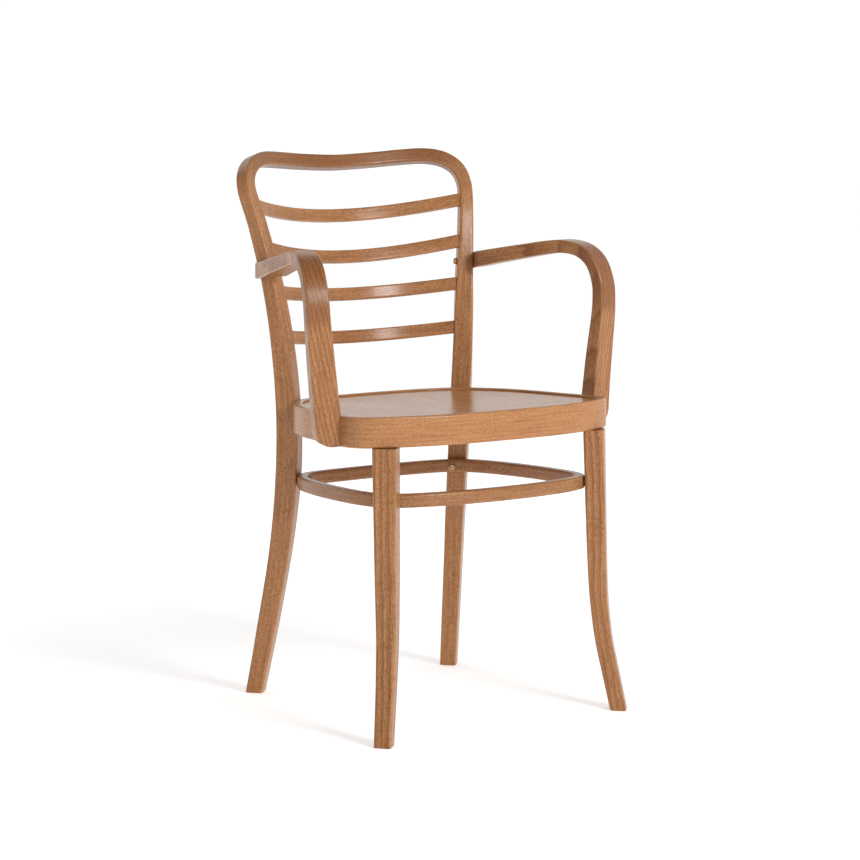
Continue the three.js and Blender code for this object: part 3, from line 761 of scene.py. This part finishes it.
def stick_tree():
    """Node group that sweeps a section along a stick and writes its grain."""
    if "Bent stick" in bpy.data.node_groups:
        return bpy.data.node_groups["Bent stick"]
    tree, g, given = node_group(
        "Bent stick", Run="Geometry", Section="Object", Grain_Offset="Vector",
        Weld_Distance="Float", Finish="Material")
    run, section = given["Run"], g.object_mesh(given["Section"])
    sheet, row, column = g.sheet(g.count(run), g.count(section))
    place = g.node("GeometryNodeInputPosition")[0]
    vector = "FLOAT_VECTOR"
    centre = g.sample(run, place, vector, row)
    across, depth, reach = (g.sample(run, g.named(name, vector), vector, row)
                            for name in ("across", "depth", "reach"))
    size, distance = (g.sample(run, g.named(name, "FLOAT"), "FLOAT", row)
                      for name in ("size", "distance"))
    offset_x, offset_y, _ = g.sample(section, place, vector, column).parts()
    sign_x, sign_y, _ = g.sample(section, g.named("sign", vector), vector, column).parts()
    wear = g.sample(section, g.named("edge", "FLOAT"), "FLOAT", column)
    outer, inner, half = reach.parts()
    wide = (sign_x.call("MAXIMUM", 0.0) * outer + sign_x.call("MINIMUM", 0.0) * inner
            + offset_x) * size
    deep = (sign_y * half + offset_y) * size
    moved = g.node("GeometryNodeSetPosition", {}, {
        "Geometry": sheet, "Position": centre + across * wide + depth * deep})[0]
    # kept on the corners, so a closed ring has a clean joint where its grain starts again
    grain = g.node("GeometryNodeFieldOnDomain", {"data_type": vector, "domain": "POINT"},
                   {0: g.combine(distance, wide, deep) + given["Grain Offset"]})[0]
    marked = g.store(moved, "grain", grain, vector, "CORNER")
    marked = g.store(marked, "edge", wear, "FLOAT", "POINT")
    g.hand_out(g.weld(marked, given["Weld Distance"]), given["Finish"])
    return tree


def turned_tree():
    """Node group that turns a profile on a lathe and sets one on every point along its axis."""
    if "Turned fitting" in bpy.data.node_groups:
        return bpy.data.node_groups["Turned fitting"]
    tree, g, given = node_group(
        "Turned fitting", Points="Geometry", Profile="Object", Segments="Int",
        Weld_Distance="Float", Finish="Material")
    profile = g.object_mesh(given["Profile"])
    sheet, row, column = g.sheet(g.count(profile), given["Segments"] + 1)
    angle = column * (2 * math.pi) / given["Segments"]
    place = g.node("GeometryNodeInputPosition")[0]
    radius, height, socket = g.sample(profile, place, "FLOAT_VECTOR", row).parts()
    # a socket row is a hexagon instead of a circle
    sixth = (angle / (math.pi / 3)).call("FRACT") * (math.pi / 3) - math.pi / 6
    hexagon = math.cos(math.pi / 6) / sixth.call("COSINE")
    radius = radius * (1.0 + socket * (hexagon - 1.0))
    spot = g.combine(radius * angle.call("COSINE"), radius * angle.call("SINE"), height)
    moved = g.node("GeometryNodeSetPosition", {}, {"Geometry": sheet, "Position": spot})[0]
    turn = g.node("FunctionNodeAlignRotationToVector", {"axis": "Z"}, {
        "Vector": g.named("axis", "FLOAT_VECTOR")})[0]
    dots = g.node("GeometryNodeMeshToPoints", {}, {"Mesh": given["Points"]})[0]
    placed = g.node("GeometryNodeInstanceOnPoints", {}, {
        "Points": dots, "Instance": g.weld(moved, given["Weld Distance"]), "Rotation": turn})[0]
    g.hand_out(placed, given["Finish"])
    return tree


def run_tree(source, tree, helper, values, name):
    """Evaluates a node group on a table of points and keeps the result as a plain mesh object."""
    modifier = source.modifiers.new("Maker", "NODES")
    modifier.node_group = tree
    for socket in tree.interface.items_tree:
        if socket.in_out == "INPUT" and socket.name in values:
            modifier[socket.identifier] = values[socket.name]
    depsgraph = bpy.context.evaluated_depsgraph_get()
    depsgraph.update()
    mesh = bpy.data.meshes.new_from_object(
        source.evaluated_get(depsgraph), preserve_all_data_layers=True, depsgraph=depsgraph)
    mesh.name = name
    source.modifiers.remove(modifier)
    bpy.data.objects.remove(source)
    bpy.data.objects.remove(helper)
    if not mesh.polygons:
        raise RuntimeError(f"{name} came out empty")
    piece = bpy.data.objects.new(name, mesh)
    bpy.context.collection.objects.link(piece)
    return piece


def hand_over(piece, nodes):
    """Finishes a piece's faces, trims it, hangs it on its carrier and hides the nodes it stands
    for.
    """
    mesh = piece.data
    shape = bmesh.new()
    shape.from_mesh(mesh)
    bmesh.ops.recalc_face_normals(shape, faces=shape.faces)
    shape.to_mesh(mesh)
    shape.free()
    mesh.set_sharp_from_angle(angle=math.radians(CRISP_ANGLE))
    move_points(mesh, lambda co: co * TRIM)
    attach(piece, "root")
    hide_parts(*nodes)


def move_points(mesh, change):
    """Passes a mesh's vertices, as rows of metres, through a function."""
    co = np.empty(len(mesh.vertices) * 3)
    mesh.vertices.foreach_get("co", co)
    mesh.vertices.foreach_set("co", change(co.reshape(-1, 3)).ravel())
    mesh.update()


def shape_points(piece, change):
    """Passes a piece's vertices, as rows of millimetres in the drawing, through a function."""
    move_points(piece.data, lambda co: change((co - SHIFT) / MM) * MM + SHIFT)


def bend(name, node, stick, section, material, grain_offset, change=None):
    """Makes one stick from its rows and a section, trims its points and hands it over."""
    signs, offsets, wear = (np.asarray(column) for column in section)
    flat = np.zeros((len(wear), 1))
    run = table_mesh(
        f"{name}_run", stick.points * MM + SHIFT, across=stick.across,
        depth=stick.depth, reach=stick.reach * MM, size=stick.size, distance=stick.run * MM)
    helper = table_mesh(f"{name}_section", np.hstack([offsets, flat]) * MM,
                        sign=np.hstack([signs, flat]), edge=wear)
    values = {"Section": helper, "Grain Offset": grain_offset, "Weld Distance": 0.005 * MM,
              "Finish": material}
    piece = run_tree(run, stick_tree(), helper, values, name)
    if change:
        shape_points(piece, change)
    hand_over(piece, [node])


def turn_fittings(place, kind, profile, points, axes, material, socket=()):
    """Turns the right and the left fitting of a kind as one piece; socket lists hexagonal rows."""
    name = f"{place}_{kind}s"
    source = table_mesh(f"{name}_points", points, axis=axes)
    helper = table_mesh(f"{name}_profile",
                        [(r * MM, h * MM, float(i in socket)) for i, (r, h) in enumerate(profile)])
    values = {"Profile": helper, "Segments": 36, "Weld Distance": 0.002 * MM, "Finish": material}
    piece = run_tree(source, turned_tree(), helper, values, name)
    node = f"{place}_{kind}".removesuffix("_head")
    hand_over(piece, [f"{node}_right", f"{node}_left"])


def ring_stick(outline, top, fall):
    """Stick that runs once round a plan outline, just under its sloping top."""
    points, out = closed_plan(outline)
    points[:, 2] = top(points[:, 1])
    across = out - np.array([0, 0, fall]) * out[:, 1:2]
    none = np.zeros(len(points))
    depth = np.repeat([[0.0, 0.0, 1.0]], len(points), axis=0)
    return Stick(points, across, depth, none, none, none)


# ---------------------------------------------------------------- operators

class ARMCHAIR_OT_back_frame(bpy.types.Operator):
    """Bend the one stick that is both rear legs, both uprights and the top rail"""

    bl_idname = "armchair.back_frame"
    bl_label = "Back frame"

    def execute(self, context):
        sizes, finish = context.scene.armchair_sizes, context.scene.armchair_finish
        half = at_distances(FRAME_RUN, np.linspace(0, lengths(FRAME_RUN)[-1], 270))
        faces = face_of(half[:, 5], half[:, 6])
        left = half[-2::-1].copy()
        left[:, 0] *= -1
        left_faces = faces[-2::-1].copy()
        left_faces[:, 0] *= -1
        rows, faces = np.vstack([half, left]), np.vstack([faces, left_faces])
        along = tangents(rows[:, :3])
        along[0], along[-1] = (0, 0, 1), (0, 0, -1)
        depth, across = square_up(faces, along)
        stick = Stick(rows[:, :3], across, depth, rows[:, 3] / 2, rows[:, 3] / 2, rows[:, 4] / 2)
        stick.ease_end(True, sizes.foot_ease / MM)
        stick.points[:, 2] = np.maximum(stick.points[:, 2], 0.0)
        stick.ease_end(False, sizes.foot_ease / MM)
        material = stained_beech("Beech frame", finish, rings=0.25, flecks=0.8, heart=(-0.04, 0.06),
                                 ring_turn=65.0, ring_pitch=0.0045,
                                 dark_band=(lengths(half)[-1] * MM, 0.26, 0.6))
        section = rounded_section(sizes.edge_radius / MM)
        bend("bent_back_frame", "back_frame", stick, section, material, (0.0, 0.0, 0.0),
             keep_on_floor)
        return {"FINISHED"}


def keep_on_floor(co):
    """No point goes below the floor."""
    co[:, 2] = np.maximum(co[:, 2], 0.0)
    return co


class ARMCHAIR_OT_slats(bpy.types.Operator):
    """Bend the four slats of the ladder back"""

    bl_idname = "armchair.slats"
    bl_label = "Back slats"

    def execute(self, context):
        sizes, finish = context.scene.armchair_sizes, context.scene.armchair_finish
        section = rounded_section(sizes.slat_edge_radius / MM)
        for number, (end, back, fall) in enumerate(SLATS, 1):
            upright, _ = upright_at(end)
            half = upright[0] - SLAT_SHOULDER
            x = np.linspace(-half - SLAT_TENON, half + SLAT_TENON, 110)
            q = 1 - (x / half)**2
            points = np.stack([x, upright[1] + back * q, end - fall * q], axis=1)
            faces = np.repeat([[0.0, -back, fall]], len(x), axis=0)
            depth, across = square_up(unit(faces), tangents(points))
            ones = np.ones(len(x))
            tall = sizes.slat_height / MM / 2 * ones
            stick = Stick(points, across, depth, tall, tall, sizes.slat_thickness / MM / 2 * ones)
            for at_start in (True, False):
                stick.ease_end(at_start, HIDDEN_EASE)
            material = stained_beech("Beech slats", finish, rings=0.3, flecks=0.8,
                                     ring_turn=75.0, ring_pitch=0.005, heart=(0.03, -0.05))
            bend(f"ladder_slat_{number}", f"back_slat_{number}", stick, section, material,
                 (1.7 * number, 0.013 * number, 0.021 * number))
        return {"FINISHED"}


class ARMCHAIR_OT_seat_ring(bpy.types.Operator):
    """Bend the seat ring with its rebate for the panel"""

    bl_idname = "armchair.seat_ring"
    bl_label = "Seat ring"

    def execute(self, context):
        sizes, finish = context.scene.armchair_sizes, context.scene.armchair_finish
        stick = ring_stick(RING_OUTLINE, seat_top, SEAT_FALL)
        wide, tall = sizes.ring_width / MM, sizes.ring_height / MM
        ledge, drop = sizes.rebate_width / MM, sizes.rebate_depth / MM
        corners = [
            (0, 0, 4.2), (-(wide - ledge), 0, 1.3), (-(wide - ledge), -drop, 0.3),
            (-wide, -drop, 0.8), (-wide, -tall, 1.6), (0, -tall, 3.6),
        ]
        # tone 1.06 is painted light: the seat ring is made lighter than the other pieces, for the
        # stronger light on its front
        material = stained_beech("Beech seat ring", finish, tone=1.06, rings=0.22, flecks=0.7,
                                 ring_turn=80.0, ring_pitch=0.006, heart=(0.0, 0.09))
        bend("bent_seat_ring", "seat_ring", stick, polygon_section(corners, 4), material,
             (4.0, 0.0, 0.3))
        return {"FINISHED"}


class ARMCHAIR_OT_seat_panel(bpy.types.Operator):
    """Press the dished plywood panel of the seat"""

    bl_idname = "armchair.seat_panel"
    bl_label = "Seat panel"

    def execute(self, context):
        sizes, finish = context.scene.armchair_sizes, context.scene.armchair_finish
        points, out = (column[:-1] for column in closed_plan(RING_OUTLINE, 5.0))
        inset = (sizes.ring_width - sizes.rebate_width) / MM + GAP
        rim = points - out * inset
        centre = np.array([0.0, -16.0, 0.0])
        flat, ease = 0.93, 0.8
        bed = sizes.rebate_depth / MM - GAP
        thick, sink = sizes.panel_thickness / MM, sizes.panel_dish / MM

        def loop(f, level, pull=0.0):
            ring = centre + (rim - out * pull - centre) * f
            dish = sink * (1 - min(1.0, f / flat)**2)
            ring[:, 2] = seat_top(ring[:, 1]) - bed + level - dish
            return ring

        inner = [0.02, 0.06, 0.12, 0.2, 0.3, 0.4, 0.5, 0.6, 0.7, 0.78, 0.85, 0.9, 0.93, 0.96, 0.985]
        loops = [loop(f, 0.0) for f in inner]
        loops += [loop(1, 0.0, ease), loop(1, ease * 0.3, ease * 0.3), loop(1, ease)]
        loops += [loop(1, thick - ease), loop(1, thick - ease * 0.3, ease * 0.3),
                  loop(1, thick, ease)]
        loops += [loop(f, thick) for f in reversed(inner)]
        shape = bmesh.new()
        rings = [[shape.verts.new(p * MM + SHIFT) for p in ring] for ring in loops]
        for a, b in zip(rings, rings[1:]):
            for k in range(len(a)):
                n = (k + 1) % len(a)
                shape.faces.new((a[k], a[n], b[n], b[k]))
        for ring in (rings[0], rings[-1]):
            middle = shape.verts.new(sum((v.co for v in ring), Vector()) / len(ring))
            for k in range(len(ring)):
                shape.faces.new((ring[k], ring[(k + 1) % len(ring)], middle))
        for face in shape.faces:
            face.smooth = True
        mesh = bpy.data.meshes.new("dished_seat_panel")
        shape.to_mesh(mesh)
        shape.free()
        mesh.materials.append(seat_veneer("Seat veneer", finish))
        piece = bpy.data.objects.new("dished_seat_panel", mesh)
        context.collection.objects.link(piece)
        hand_over(piece, ["seat_panel"])
        return {"FINISHED"}


class ARMCHAIR_OT_front_legs(bpy.types.Operator):
    """Bend the two front legs, which turn out at the foot"""

    bl_idname = "armchair.front_legs"
    bl_label = "Front legs"

    def execute(self, context):
        sizes, finish = context.scene.armchair_sizes, context.scene.armchair_finish
        run = smooth_run(LEG_KEYS)
        rows = at_distances(run, np.linspace(0, lengths(run)[-1], 110))
        turn = np.radians(rows[:, 5])
        faces = np.stack([np.sin(turn), -np.cos(turn), np.zeros(len(turn))], axis=1)
        material = stained_beech("Beech legs", finish, rings=0.8, flecks=0.8, ring_turn=25.0,
                                 ring_pitch=0.0056, heart=(0.02, 0.05), blotch=0.5)
        section = rounded_section(sizes.edge_radius / MM)

        def under_ring(co):
            limit = seat_top(co[:, 1]) - sizes.ring_height / MM - GAP
            co[:, 2] = np.clip(co[:, 2], 0.0, limit)
            return co

        for side, name in ((1, "right"), (-1, "left")):
            mirror = np.array([side, 1, 1])
            points = rows[:, :3] * mirror
            along = tangents(points)
            along[0] = (0, 0, 1)
            depth, across = square_up(faces * mirror, along)
            wide, deep = rows[:, 3] / 2, rows[:, 4] / 2
            stick = Stick(points, across, depth, wide, wide, deep)
            stick.ease_end(True, sizes.foot_ease / MM)
            stick.ease_end(False, HIDDEN_EASE)
            bend(f"front_leg_bent_{name}", f"front_leg_{name}", stick, section, material,
                 (6.0 + side, 0.02 * side, 0.11), under_ring)
        return {"FINISHED"}


class ARMCHAIR_OT_stretcher(bpy.types.Operator):
    """Bend the stretcher ring between the legs"""

    bl_idname = "armchair.stretcher"
    bl_label = "Stretcher ring"

    def execute(self, context):
        sizes, finish = context.scene.armchair_sizes, context.scene.armchair_finish
        stick = ring_stick(STRETCHER_OUTLINE, stretcher_top, STRETCHER_FALL)
        wide, tall = sizes.stretcher_width / MM, sizes.stretcher_height / MM
        edge = 4.6
        corners = [(0, 0, edge), (-wide, 0, edge), (-wide, -tall, edge), (0, -tall, edge)]
        # tone 0.84 is painted shade: the low stretcher is darkened, as less light reaches the
        # bottom of the chair
        material = stained_beech("Beech stretcher", finish, tone=0.84, rings=0.3, flecks=0.9,
                                 ring_turn=85.0, ring_pitch=0.005, heart=(0.0, 0.05))
        bend("bent_stretcher_ring", "stretcher_ring", stick, polygon_section(corners, 5), material,
             (9.0, 0.1, 0.05))
        return {"FINISHED"}


class ARMCHAIR_OT_arms(bpy.types.Operator):
    """Bend the two arms, from the side of the seat ring over to the uprights"""

    bl_idname = "armchair.arms"
    bl_label = "Arms"

    def execute(self, context):
        sizes, finish = context.scene.armchair_sizes, context.scene.armchair_finish
        turn = math.radians(ARM_TURN)
        outward = np.array([math.cos(turn), math.sin(turn), 0.0])
        backward = np.array([-math.sin(turn), math.cos(turn), 0.0])
        keys = []
        for run, out, *rest in ARM_KEYS:
            p = np.array(ARM_FOOT) + backward * run + outward * out
            keys.append((p[0], p[1], *rest))
        dense = smooth_run(keys)
        total = lengths(dense)[-1]
        low = ARM_END_R * (1 - np.cos(np.linspace(0, math.pi / 2, 22)))
        even = np.linspace(ARM_END_R, total, int((total - ARM_END_R) / 2.6))
        places = np.concatenate([low, even[1:]])
        rows = at_distances(dense, places)
        at, out_dir, _ = arm_plane()
        rows = rows[(rows[:, :3] - at) @ out_dir > -ARM_OVERRUN]
        heading = unit(rows[-1, :3] - rows[-20, :3])
        below = np.maximum(0.0, ARM_KEYS[0][2] + ARM_END_R - rows[:, 2])
        cut = ARM_END_R - np.sqrt(np.maximum(0.0, ARM_END_R**2 - below**2))
        along = tangents(rows[:, :3])
        across0 = np.repeat(outward[None], len(rows), axis=0)
        depth = unit(np.cross(along, across0))
        across = unit(np.cross(along, depth))
        # across points inward here, so the inner half width is on its positive side
        outer, inner = rows[:, 4] - cut, rows[:, 3]
        if across[0].dot(outward) < 0:
            outer, inner = inner, outer
        grain_start = 12.0
        # the dark band here is painted shade at the top of the arms' bend
        material = stained_beech("Beech arms", finish, rings=0.8, flecks=0.8, ring_turn=4.0,
                                 ring_pitch=0.0035, heart=(0.3, 0.04), wander=0.008,
                                 slant=0.07, dark_band=(grain_start + 0.225, 0.065, 0.5))
        section = rounded_section(sizes.arm_edge_radius / MM)
        for side, name in ((1, "right"), (-1, "left")):
            mirror = np.array([side, 1, 1])
            stick = Stick(rows[:, :3] * mirror, across * mirror, depth * mirror,
                          outer, inner, rows[:, 5] / 2)
            stick.ease_end(True, sizes.foot_ease / MM)
            stick.ease_end(False, sizes.foot_ease / MM)

            def bed_on_upright(co, mirror=mirror):
                beyond = (co * mirror - at) @ out_dir
                past = (co[:, 2] > ARM_BED_Z) & (beyond < 0)
                slide = np.where(past, beyond / heading.dot(out_dir), 0.0)
                return co - (heading * mirror)[None] * slide[:, None]

            bend(f"bent_arm_{name}", f"arm_{name}", stick, section, material,
                 (grain_start, *((0.0, 0.0) if side > 0 else (-0.41, 0.17))), bed_on_upright)
        return {"FINISHED"}


def beside_ring(place, kind, outline, inset):
    """Places of a kind's right and left fittings on the inside of a ring, and the way they look."""
    points, outwards = closed_plan(outline, 1.0)
    spots, axes = [], []
    for side in ("right", "left"):
        low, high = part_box(f"{place}_{kind}_{side}")
        centre = np.array((low + high) / 2)
        at = (centre - SHIFT)[:2] / MM
        out = outwards[int(np.argmin(np.hypot(points[:, 0] - at[0], points[:, 1] - at[1])))]
        spots.append(centre - out * inset * MM)
        axes.append(-out)
    return spots, axes


# Lathe profiles of the fittings in millimetres: radius and height above the bedding face.
DOME = [(0, -1), (4.4, -1), (4.4, 0), (4.85, 0.15), (5, 0.6), (5, 2.3), (4.8, 3.2), (4.3, 4.1),
        (3.5, 4.8), (2.4, 5.25), (1.2, 5.45), (0, 5.5)]
WASHER = [(3.3, -0.75), (8.7, -0.75), (9, -0.55), (9, 0.55), (8.7, 0.75), (3.3, 0.75), (3.3, -0.75)]
CUP = [(2.6, -2.6), (6.3, -2.6), (6.5, -2.4), (6.45, -2.0), (6.2, -1.3), (5.8, -0.6), (5.3, -0.1),
       (4.9, 0.1), (4.5, 0.05), (4.2, -0.2), (3.2, -0.75), (2.6, -1.0), (2.6, -2.6)]
SCREW = [(0, -1.2), (2.2, -1.2), (2.3, -0.4), (3.4, 0.1), (3.8, 0.5), (3.9, 1.0), (3.85, 1.6),
         (3.5, 2.2), (3.0, 2.6), (2.4, 2.85), (2.0, 2.88), (1.85, 2.75), (1.8, 2.5), (1.75, 1.25),
         (0, 1.15)]
SCREW_SOCKET = (11, 12, 13)


class ARMCHAIR_OT_fasteners(bpy.types.Operator):
    """Turn the bolt heads, washers, cup washers and socket screws"""

    bl_idname = "armchair.fasteners"
    bl_label = "Fasteners"

    def execute(self, context):
        finish = context.scene.armchair_finish
        brass = bronzed_metal("Bronzed brass", finish)
        zinc = zinc_steel("Zinc steel", finish)
        _, out, row = arm_plane()
        head = row[:3] - out * (row[3] / 2 + 0.1)
        mirrors = np.array([[1, 1, 1], [-1, 1, 1]])
        turn_fittings("arm", "bolt_head", DOME, head * mirrors * MM + SHIFT, -out * mirrors, brass)
        for place in ("rear_leg", "arm_lower"):
            plates, axes = beside_ring(place, "washer", RING_OUTLINE, 0.0)
            heads, _ = beside_ring(place, "washer", RING_OUTLINE, 0.7)
            turn_fittings(place, "washer", WASHER, plates, axes, zinc)
            turn_fittings(place, "bolt_head", DOME, heads, axes, zinc)
        for place in ("stretcher_rear", "stretcher_front"):
            spots, axes = beside_ring(place, "cup", STRETCHER_OUTLINE, 1.25)
            turn_fittings(place, "cup", CUP, spots, axes, brass)
            turn_fittings(place, "screw", SCREW, spots, axes, brass, SCREW_SOCKET)
        return {"FINISHED"}


# Lamps: name, place, size in metres and power in watts.
LAMPS = [
    ("Key", (0.45, -3.1, 1.95), 1.0, 72.0), ("Left", (-3.2, -0.8, 1.8), 1.8, 4.0),
    ("Back", (-1.0, 3.2, 2.6), 2.4, 22.0),
]
LAMP_AIM = (0.0, 0.0, 0.45)
CAMERA_TARGET = (0.0, -0.0354, 0.4143)
CAMERA_TURN = (-33.94, 7.44)        # degrees round the chair and above the floor
CAMERA_DISTANCE = 4.184
CAMERA_LENS = 117.67                # millimetres on a 36 mm wide sensor


def aim_at(name, data, place, target):
    """Puts a lamp or a camera in its place, looking at a target."""
    thing = bpy.data.objects.new(name, data)
    thing.location = place
    aim = Vector(target) - Vector(place)
    thing.rotation_euler = aim.to_track_quat("-Z", "Y").to_euler()
    bpy.context.scene.collection.objects.link(thing)
    return thing


class ARMCHAIR_OT_stage(bpy.types.Operator):
    """Lay the pale floor and set the soft lights and the camera"""

    bl_idname = "armchair.stage"
    bl_label = "Floor, lights and camera"

    def execute(self, context):
        scene = context.scene
        mesh = bpy.data.meshes.new("studio_floor")
        reach = 14.0
        corners = [(x * reach, y * reach, 0) for x, y in ((-1, -1), (1, -1), (1, 1), (-1, 1))]
        mesh.from_pydata(corners, [], [range(4)])
        floor = bpy.data.objects.new("studio_floor", mesh)
        scene.collection.objects.link(floor)
        material, g, shader = new_material("Pale floor")
        place = g.node("ShaderNodeTexCoord")["Object"]
        tone = g.noise(place, 1.5, 2.0, 0.5)
        colour = g.mix(tone, (0.93, 0.93, 0.93), (0.96, 0.96, 0.96))
        # the sweep glows of itself, more so further away, and the lamps add the rest
        x, y, _ = place.parts()
        away = g.step(((x * x) + (y * y)).call("SQRT"), 0.45, 1.5)
        glow = g.mix(away, (0.38, 0.38, 0.38), (0.56, 0.56, 0.56))
        feed(g, shader, Base_Color=colour, Roughness=0.9, Emission_Color=glow,
             Emission_Strength=1.0)
        mesh.materials.append(material)

        world = bpy.data.worlds.new("Studio")
        world.use_nodes = True
        # a white sweep behind the chair, a dimmer room in front and a dark ceiling
        sky = Graph(world.node_tree)
        x, y, z = sky.node("ShaderNodeTexCoord")["Generated"].parts()
        behind = sky.step(x * 0.75 + y * 0.65, 0.0, 0.75)
        ceiling = sky.step(z, 0.45, 0.85)
        low = sky.step(z, 0.35, 0.0)
        level = (0.5 + low * 0.4 + behind * (1.0 - low * 0.7) * 0.56) * (1.0 - ceiling * 0.6)
        background = world.node_tree.nodes["Background"]
        background.inputs["Color"].default_value = (1.0, 1.0, 1.0, 1.0)
        world.node_tree.links.new(level.socket, background.inputs["Strength"])
        scene.world = world

        for name, place, size, power in LAMPS:
            data = bpy.data.lights.new(name, "AREA")
            data.shape = "SQUARE"
            data.size = size
            data.energy = power
            aim_at(name, data, place, LAMP_AIM)

        lens = bpy.data.cameras.new("Camera")
        lens.sensor_width = 36.0
        lens.lens = CAMERA_LENS
        lens.clip_end = 60.0
        azimuth, height = map(math.radians, CAMERA_TURN)
        level = math.cos(height)
        away = Vector((math.sin(azimuth) * level, -math.cos(azimuth) * level, math.sin(height)))
        target = Vector(CAMERA_TARGET)
        scene.camera = aim_at("Camera", lens, target + away * CAMERA_DISTANCE, target)
        scene.view_settings.view_transform = "Standard"
        return {"FINISHED"}


# ---------------------------------------------------------------- panel and registration

OPERATORS = (
    ARMCHAIR_OT_back_frame, ARMCHAIR_OT_slats, ARMCHAIR_OT_seat_ring, ARMCHAIR_OT_seat_panel,
    ARMCHAIR_OT_front_legs, ARMCHAIR_OT_stretcher, ARMCHAIR_OT_arms, ARMCHAIR_OT_fasteners,
    ARMCHAIR_OT_stage,
)


class ARMCHAIR_PT_maker(bpy.types.Panel):
    """Lists the pieces of the armchair in the sidebar"""

    bl_idname = "ARMCHAIR_PT_maker"
    bl_label = "Bentwood armchair"
    bl_space_type = "VIEW_3D"
    bl_region_type = "UI"
    bl_category = "Armchair"

    def draw(self, context):
        layout = self.layout
        for operator in OPERATORS:
            layout.operator(operator.bl_idname)
        for group in (context.scene.armchair_sizes, context.scene.armchair_finish):
            column = layout.column()
            for name in group.__annotations__:
                column.prop(group, name)


CLASSES = (ChairSizes, ChairFinish, *OPERATORS, ARMCHAIR_PT_maker)


def register():
    """Adds the classes and the scene's settings."""
    for cls in CLASSES:
        bpy.utils.register_class(cls)
    bpy.types.Scene.armchair_sizes = PointerProperty(type=ChairSizes)
    bpy.types.Scene.armchair_finish = PointerProperty(type=ChairFinish)


def unregister():
    """Removes the settings and the classes."""
    del bpy.types.Scene.armchair_finish
    del bpy.types.Scene.armchair_sizes
    for cls in reversed(CLASSES):
        bpy.utils.unregister_class(cls)


def main():
    """Makes every piece in turn."""
    register()
    for operator in OPERATORS:
        getattr(bpy.ops.armchair, operator.bl_idname.split(".")[1])()


if __name__ == "__main__":
    main()
